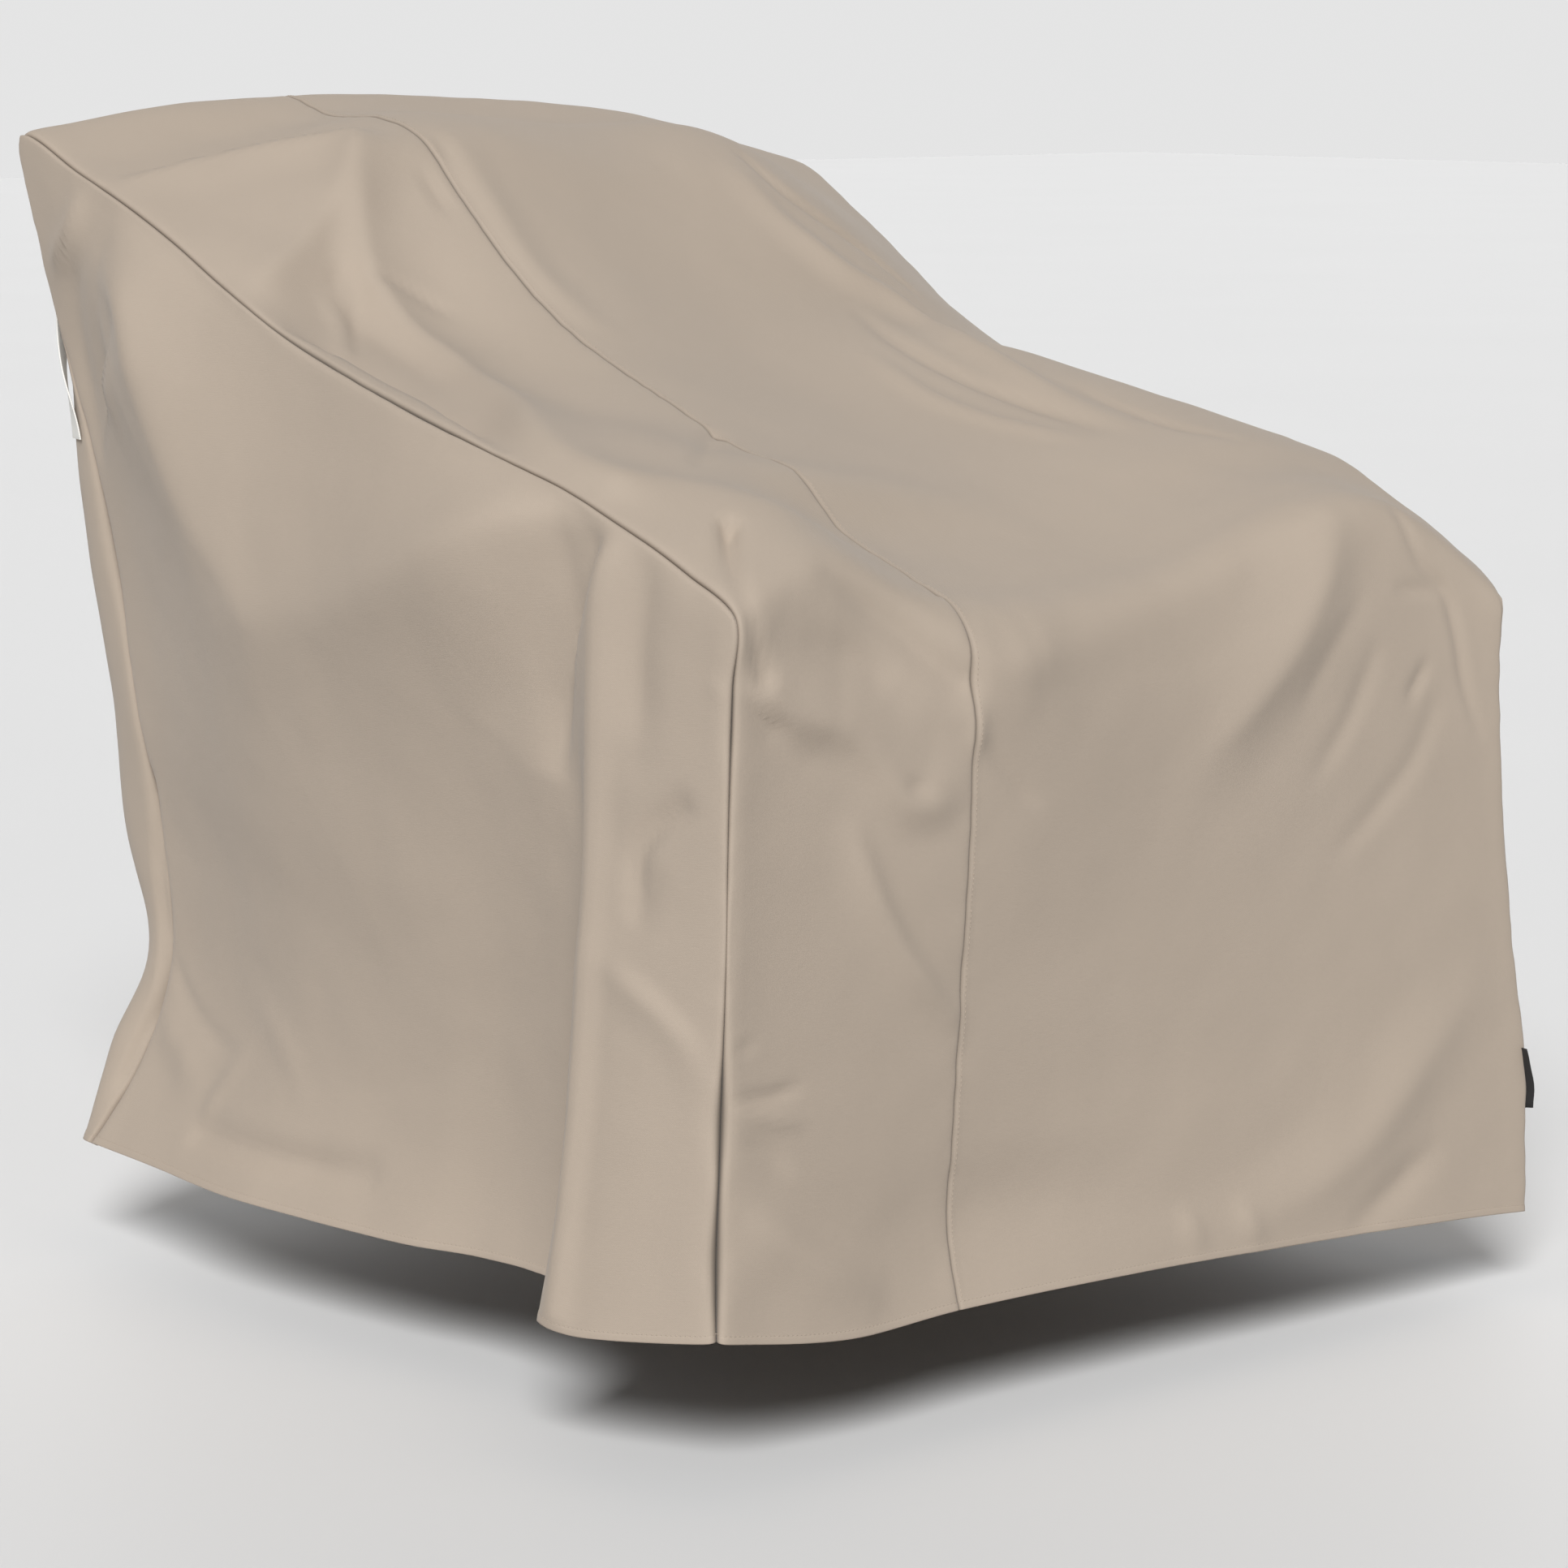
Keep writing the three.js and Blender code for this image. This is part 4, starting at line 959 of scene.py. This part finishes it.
def woven_material(name, colour, rib, roughness):
    """Woven tape or webbing with ribs along its length."""
    shader = Shader(bpy.data.materials.new(name), Sheen_Weight=0.1, Specular_IOR_Level=0.4)
    across, along = shader.threads(rib)
    weave = across.sine() * 0.3 + (across * 0.5 + along).sine() * 0.2 + 0.5
    fuzz = shader.noise(shader.places(), WOVEN["fuzz"], 2)
    tone = (weave * 0.6 + fuzz * 0.4).clamped()
    tinted = shader.tones(tone, colour, WOVEN["tones"])
    bump = shader.bump(weave, rib * WOVEN["bump"], WOVEN["strength"])
    return shader.finish(Base_Color=tinted, Roughness=fuzz * 0.15 + roughness, Normal=bump)


def link_object(name, data):
    """Adds an object to the scene."""
    obj = bpy.data.objects.new(name, data)
    bpy.context.scene.collection.objects.link(obj)
    return obj


def new_object(name, bm, material, uv=None, shades=None):
    """Turns a bmesh into an object. uv gives each point's place on the cloth, and shades
    how much painted shade of a seam lies there."""
    mesh = bpy.data.meshes.new(name)
    bm.to_mesh(mesh)
    bm.free()
    if uv is not None:
        corners = np.empty(len(mesh.loops), np.int32)
        mesh.loops.foreach_get("vertex_index", corners)
        layer = mesh.uv_layers.new(name=UV_MAP)
        layer.uv.foreach_set("vector", np.asarray(uv, np.float32)[corners].ravel())
    if shades is not None:
        layer = mesh.attributes.new(name=PAINTED_SHADE_ATTRIBUTE, type="FLOAT", domain="POINT")
        layer.data.foreach_set("value", np.asarray(shades, np.float32))
    mesh.materials.append(material)
    mesh.shade_smooth()
    return link_object(name, mesh)


def add_piece(name, bm, material, uv=None, shades=None):
    """Adds a piece that moves with the cover's one body."""
    obj = new_object(name, bm, material, uv, shades)
    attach(obj, "root")
    return obj


def grid_mesh(points, out):
    """A sheet of squares whose points are moved to the given places, and the order of
    the places in it. Its faces look the way of out."""
    rows, columns = points.shape[:2]
    bm = bmesh.new()
    bmesh.ops.create_grid(bm, x_segments=columns - 1, y_segments=rows - 1, size=1)
    order = []
    for vert in bm.verts:
        i = round((vert.co.y + 1) / 2 * (rows - 1))
        j = round((vert.co.x + 1) / 2 * (columns - 1))
        order.append(i * columns + j)
    places = points.reshape(-1, 3)
    for vert, place in zip(bm.verts, places[order].tolist()):
        vert.co = place
    bm.normal_update()
    bm.faces.ensure_lookup_table()
    middle = bm.faces[len(bm.faces) // 2]
    looks = Vector(out.reshape(-1, 3)[order[middle.verts[0].index]])
    if middle.normal.dot(looks) < 0:
        bmesh.ops.reverse_faces(bm, faces=bm.faces)
    return bm, order


def thicken(obj, thickness):
    """Gives a sheet its thickness, half to each side."""
    made = obj.modifiers.new("thickness", "SOLIDIFY")
    made.thickness = thickness
    made.offset = 0
    made.use_even_offset = True


def add_panel(name, key, flat):
    """Adds one cloth panel in place of its solid."""
    panel = draped()[key]
    bm, order = grid_mesh(panel["points"], panel["out"])
    uv = panel["uv"].reshape(-1, 2)[order]
    # Painted shade of the seams, which darkens the cloth's colour
    shades = panel["shade"][order]
    obj = add_piece(f"{name}_cloth", bm, cloth_material(), uv, shades)
    thicken(obj, bpy.context.scene.chair_cover.cloth_thickness)
    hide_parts(name)


def evenly(points, normals, pitch):
    """Places, directions and normals at even steps along a line of points."""
    lengths = lengths_along(points)
    at = (np.arange(int(lengths[-1] / pitch)) + 0.5) * pitch
    places = straight_between(lengths, points, at)
    ahead = straight_between(lengths, points, at + pitch / 4)
    outward = straight_between(lengths, normals, at)
    return places, unit(ahead - places), unit(outward)


def add_stitches(bm, points, normals, pitch, length, width):
    """Adds a row of small rounded stitches along a line on the cloth."""
    for place, along, out in zip(*evenly(points, normals, pitch)):
        side = np.cross(out, along)
        turn = Matrix((along * length / 2, side * width / 2, out * width / 2)).transposed()
        matrix = Matrix.Translation(Vector(place)) @ turn.to_4x4()
        bmesh.ops.create_icosphere(bm, subdivisions=1, radius=1, matrix=matrix)


def surface_normals(panel):
    """Outward directions of a panel's finished surface."""
    normals = directions(panel["points"], 1)
    return normals * np.sign((normals * panel["out"]).sum(-1, keepdims=True))


class CoverSizes(PropertyGroup):
    """Sizes and colours of the cover that a user would change."""

    cloth_thickness: FloatProperty(
        name="Cloth thickness",
        description="Thickness of one layer of cloth",
        default=0.0012,
        min=0.0005,
        max=0.003,
        unit="LENGTH",
    )
    thread_pitch: FloatProperty(
        name="Weave pitch",
        description="Width of two threads of the plain weave",
        default=0.0011,
        min=0.0004,
        max=0.004,
        unit="LENGTH",
    )
    stitch_pitch: FloatProperty(
        name="Stitch pitch",
        description="Distance from one stitch to the next",
        default=0.0046,
        min=0.002,
        max=0.01,
        unit="LENGTH",
    )
    stitch_length: FloatProperty(
        name="Stitch length",
        description="Length of one stitch that shows",
        default=0.0034,
        min=0.001,
        max=0.008,
        unit="LENGTH",
    )
    stitch_width: FloatProperty(
        name="Thread width",
        description="Thickness of the sewing thread",
        default=0.0007,
        min=0.0002,
        max=0.002,
        unit="LENGTH",
    )
    cloth_colour: FloatVectorProperty(
        name="Cloth colour",
        description="Colour of the coated cloth",
        default=(0.4, 0.332, 0.268),
        subtype="COLOR",
    )
    thread_colour: FloatVectorProperty(
        name="Thread colour",
        description="Colour of the sewing thread",
        default=(0.44, 0.37, 0.3),
        subtype="COLOR",
    )
    webbing_colour: FloatVectorProperty(
        name="Webbing colour",
        description="Colour of the pull handle",
        default=(0.8, 0.79, 0.75),
        subtype="COLOR",
    )
    tag_colour: FloatVectorProperty(
        name="Tag colour",
        description="Colour of the blank tag",
        default=(0.012, 0.011, 0.011),
        subtype="COLOR",
    )


class CHAIRCOVER_OT_run_panels(Operator):
    """Add the narrow strip and the main panel, which go up the front, over and down"""

    bl_idname = "chaircover.run_panels"
    bl_label = "Strip and main panel"

    def execute(self, context):
        length = RUN_LENGTH * MM
        add_panel("narrow_strip", "strip", (STRIP_WIDTH * MM, length))
        add_panel("main_panel", "main", (MAIN_WIDTH * MM, length))
        return {"FINISHED"}


class CHAIRCOVER_OT_side_panels(Operator):
    """Add the two side panels, low at the front and high at the back"""

    bl_idname = "chaircover.side_panels"
    bl_label = "Side panels"

    def execute(self, context):
        for name, key in (("near_side_panel", "near"), ("far_side_panel", "far")):
            heights = side_heights(key)
            area = float(((heights[1:] + heights[:-1]) / 2 * np.diff(TOP_SHARES) * DEPTH).sum())
            add_panel(name, key, (DEPTH * MM, BACK_HEIGHT * MM))
        return {"FINISHED"}


# How far the middle of a stitch stands over the cloth, as a share of its width
STITCH_LIFT = 0.1


class CHAIRCOVER_OT_stitching(Operator):
    """Add the stitches of the hems and of the lengthwise seam"""

    bl_idname = "chaircover.stitching"
    bl_label = "Stitching"

    def execute(self, context):
        sizes = context.scene.chair_cover
        panels = draped()
        normals = {key: surface_normals(panel) for key, panel in panels.items()}
        lift = sizes.cloth_thickness / 2 + sizes.stitch_width * STITCH_LIFT
        stitch = (sizes.stitch_pitch, sizes.stitch_length, sizes.stitch_width)

        def sew(bm, key, where):
            out = normals[key][where]
            add_stitches(bm, panels[key]["points"][where] + out * lift, out, *stitch)

        row = HEM_ROWS.index(HEM_FOLD["stitches"])
        hems = bmesh.new()
        for key in ("strip", "main"):
            sew(hems, key, row)
            sew(hems, key, -1 - row)
        for key in ("near", "far"):
            sew(hems, key, (slice(None), row))
        add_piece("hem_stitches", hems, thread_material())
        seam = bmesh.new()
        sew(seam, "main", (slice(None), SEAM_ROWS.index(LAP["stitches"])))
        add_piece("seam_stitches", seam, thread_material())
        return {"FINISHED"}


# The webbing handle on the back, in millimetres over the level hem. inset is from the
# rear corner to its middle, bow how far its middle height stands off the cloth, and
# gap how far all of it does.
HANDLE = dict(
    bottom=684, top=840, width=25, inset=28, thickness=1.6, bow=5.8, gap=0.5, rounding=0.4
)
HANDLE_ROWS = 49
HANDLE_COLUMNS = 9

# The folded tag in the far front seam: how far it reaches, where it starts, half the
# distance between its layers, how it turns towards its top, in degrees and by a power
# of height, and its outline from the seam to the fold, as shares of reach and distance
TAG = dict(bottom=69, top=128, reach=14, start=0.5, fold=0.55, thickness=0.5)
TAG_TURN = dict(degrees=-50, power=1.5)
TAG_ROWS = 11
TAG_BEND = ((0, 1), (0.35, 1), (0.7, 1), (0.93, 0.95), (1, 0.5))


def levels(piece, first, last, rows):
    """Heights in metres for the rows of a piece, from one of its ends to the other."""
    return (np.linspace(piece[first], piece[last], rows) + PLACE[2]) * MM


def heights_on(line, wanted):
    """Points at the wanted heights on an upright line of points."""
    low = line[np.argsort(line[:, 2])]
    return straight_between(low[:, 2], low, wanted)


def flat_places(across, up):
    """UV places of a strip, from those across it and those up it."""
    return np.stack(np.broadcast_arrays(across, up[:, None]), axis=-1).reshape(-1, 2)


def cloth_under(across, wanted):
    """Points of the strip's back at distances from the rear corner and at heights."""
    points = draped()["strip"]["points"][TOP_END:]
    level_row = points[np.argmin(np.abs(points[:, 0, 2] - wanted.mean()))]
    at = np.interp(across, lengths_along(level_row), np.arange(len(level_row)))
    first = at.astype(int)
    lines = mix(points[:, first], points[:, first + 1], (at - first)[:, None])
    return np.stack([heights_on(line, wanted) for line in lines.swapaxes(0, 1)], axis=1)


def handle_grid(across, wanted, cloth_thickness):
    """Points of the handle, straight across and bowed off the cloth, and the directions
    in which they look."""
    under = cloth_under(HANDLE["inset"] * MM + across, wanted)
    share = np.linspace(0, 1, HANDLE_COLUMNS)[:, None]
    straight = mix(under[:, :1], under[:, -1:], share)
    outward = unit(np.cross(under[:, -1] - under[:, 0], (0, 0, -1)))[:, None]
    bulge = ((under - straight) * outward).sum(-1).max(axis=1)
    bow = HANDLE["bow"] * MM * np.sin(np.pi * np.linspace(0, 1, HANDLE_ROWS)) ** 2
    off = cloth_thickness / 2 + (HANDLE["thickness"] / 2 + HANDLE["gap"]) * MM + bulge + bow
    return straight + outward * off[:, None, None], outward


class CHAIRCOVER_OT_handle(Operator):
    """Add the upright webbing handle at the near corner of the back"""

    bl_idname = "chaircover.handle"
    bl_label = "Pull handle"

    def execute(self, context):
        sizes = context.scene.chair_cover
        across = np.linspace(-0.5, 0.5, HANDLE_COLUMNS) * HANDLE["width"] * MM
        wanted = levels(HANDLE, "top", "bottom", HANDLE_ROWS)
        grid, outward = handle_grid(across, wanted, sizes.cloth_thickness)
        bm, order = grid_mesh(grid, np.broadcast_to(outward, grid.shape))
        uv = flat_places(across, -wanted)[order]
        finish = woven_material("grey_webbing", sizes.webbing_colour, **WEBBING)
        obj = add_piece("pull_handle_webbing", bm, finish, uv)
        thicken(obj, HANDLE["thickness"] * MM)
        round_edges = obj.modifiers.new("soft edges", "BEVEL")
        round_edges.width = HANDLE["rounding"] * MM
        round_edges.segments = 2
        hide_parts("pull_handle")
        return {"FINISHED"}


def tag_directions(line, out, wanted):
    """Level directions in which the tag reaches out of its seam, turning with height."""
    seam_out = unit(straight_between(line[:, 2], out, wanted) * (1, 1, 0))
    share = np.linspace(0, 1, TAG_ROWS)
    turn = math.radians(TAG_TURN["degrees"]) * share ** TAG_TURN["power"]
    cos, sin = np.cos(turn), np.sin(turn)
    x, y = seam_out[:, 0], seam_out[:, 1]
    return np.stack([x * cos - y * sin, x * sin + y * cos, 0 * x], axis=1)


class CHAIRCOVER_OT_tag(Operator):
    """Add the folded blank tag in the far front seam"""

    bl_idname = "chaircover.tag"
    bl_label = "Blank tag"

    def execute(self, context):
        sizes = context.scene.chair_cover
        panel = draped()["main"]
        line = panel["points"][: TOP_START + 1, -1]
        out = panel["out"][: TOP_START + 1, -1]
        wanted = levels(TAG, "bottom", "top", TAG_ROWS)
        outward = tag_directions(line, out, wanted)
        side = np.stack([-outward[:, 1], outward[:, 0], 0 * wanted], axis=1)[:, None]
        profile = np.array([*TAG_BEND, *((reach, -apart) for reach, apart in TAG_BEND[::-1])])
        reach = (profile[:, 0] * TAG["reach"] + TAG["start"]) * MM
        apart = profile[:, 1] * TAG["fold"] * MM
        root = heights_on(line, wanted)[:, None]
        grid = root + outward[:, None] * reach[:, None] + side * apart[:, None]
        bm, order = grid_mesh(grid, np.broadcast_to(side, grid.shape))
        bmesh.ops.recalc_face_normals(bm, faces=bm.faces)
        round_the_fold = np.cumsum(np.abs(np.diff(reach)) + np.abs(np.diff(apart)))
        uv = flat_places(np.concatenate([[0], round_the_fold]), wanted)[order]
        finish = woven_material("black_tape", sizes.tag_colour, **TAPE)
        obj = add_piece("side_tag_tape", bm, finish, uv)
        thicken(obj, TAG["thickness"] * MM)
        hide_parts("side_tag")
        return {"FINISHED"}


# Camera: where the eye is, in the same millimetres as the cover, the side that it
# looks from and how far it looks down, in degrees, and its lens
EYE = np.array((-2678, -3203, 1063))
CAMERA = dict(azimuth=-40, down=9.5, lens=102.5, sensor=36, clip_end=100)

# Stage, in metres: the floor, the lamps with their places and spreads in degrees, and
# how bright the air is as light and as the backdrop that the camera sees
FLOOR = dict(level=-0.075, half=30, squares=8, clouds=0.8, tones=(0.71, 0.73))
WHITE = (1, 1, 1)
LIGHTS = table(
    "name azimuth elevation spread strength",
    ("key", -45, 40, 26, 3.5),
    ("rear", 135, 14, 60, 1.0),
)
WORLD_LIGHT = 0.2
BACKDROP = 0.78


def aim(obj, azimuth, elevation):
    """Turns a lamp or the camera so that it looks at the cover from a direction."""
    a, e = math.radians(azimuth), math.radians(elevation)
    away = Vector((math.sin(a) * math.cos(e), -math.cos(a) * math.cos(e), math.sin(e)))
    obj.rotation_euler = away.to_track_quat("Z", "Y").to_euler()


def add_floor():
    """Adds the pale floor."""
    bm = bmesh.new()
    squares = FLOOR["squares"]
    bmesh.ops.create_grid(bm, x_segments=squares, y_segments=squares, size=FLOOR["half"])
    bmesh.ops.translate(bm, verts=bm.verts, vec=(0, 0, FLOOR["level"]))
    shader = Shader(bpy.data.materials.new("pale_floor"), Specular_IOR_Level=0.1)
    clouds = shader.noise(shader.object_places(), FLOOR["clouds"], 2)
    colour = shader.tones(clouds, WHITE, FLOOR["tones"])
    new_object("studio_floor", bm, shader.finish(Base_Color=colour))


def add_lights():
    """Adds the soft lamps and the light of the air."""
    for row in LIGHTS:
        light = bpy.data.lights.new(row["name"], "SUN")
        light.energy = row["strength"]
        light.angle = math.radians(row["spread"])
        aim(link_object(row["name"], light), row["azimuth"], row["elevation"])
    air = Shader(bpy.data.worlds.new("studio"), "Background", Color=(*WHITE, 1))
    seen = air.value("ShaderNodeLightPath", {})
    strength = seen * BACKDROP + (1 - seen) * WORLD_LIGHT
    bpy.context.scene.world = air.finish(Strength=strength)


def add_camera():
    """Adds the camera, which looks down at the near front corner."""
    lens = bpy.data.cameras.new("camera")
    lens.lens = CAMERA["lens"]
    lens.sensor_width = CAMERA["sensor"]
    lens.clip_end = CAMERA["clip_end"]
    camera = link_object("camera", lens)
    camera.location = (EYE + PLACE) * MM
    aim(camera, CAMERA["azimuth"], CAMERA["down"])
    bpy.context.scene.camera = camera


class CHAIRCOVER_OT_stage(Operator):
    """Add the pale floor, the soft studio lights and the camera"""

    bl_idname = "chaircover.stage"
    bl_label = "Stage"

    def execute(self, context):
        context.scene.view_settings.view_transform = "Standard"
        add_floor()
        add_lights()
        add_camera()
        return {"FINISHED"}


OPERATORS = (
    CHAIRCOVER_OT_stage,
    CHAIRCOVER_OT_run_panels,
    CHAIRCOVER_OT_side_panels,
    CHAIRCOVER_OT_stitching,
    CHAIRCOVER_OT_handle,
    CHAIRCOVER_OT_tag,
)


class CHAIRCOVER_PT_sidebar(Panel):
    """Sizes, colours and pieces of the cover"""

    bl_idname = "CHAIRCOVER_PT_sidebar"
    bl_label = "Lounge Chair Cover"
    bl_space_type = "VIEW_3D"
    bl_region_type = "UI"
    bl_category = "Chair Cover"

    def draw(self, context):
        sizes = context.scene.chair_cover
        for name in CoverSizes.__annotations__:
            self.layout.prop(sizes, name)
        for operator in OPERATORS:
            self.layout.operator(operator.bl_idname)


CLASSES = (CoverSizes, *OPERATORS, CHAIRCOVER_PT_sidebar)


def register():
    """Adds the classes and the sizes to Blender."""
    for each in CLASSES:
        bpy.utils.register_class(each)
    bpy.types.Scene.chair_cover = PointerProperty(type=CoverSizes)


def unregister():
    """Takes the sizes and the classes out of Blender."""
    del bpy.types.Scene.chair_cover
    for each in reversed(CLASSES):
        bpy.utils.unregister_class(each)


def main():
    """Adds the stage and the cover."""
    register()
    bpy.ops.chaircover.stage()
    bpy.ops.chaircover.run_panels()
    bpy.ops.chaircover.side_panels()
    bpy.ops.chaircover.stitching()
    bpy.ops.chaircover.handle()
    bpy.ops.chaircover.tag()


if __name__ == "__main__":
    main()
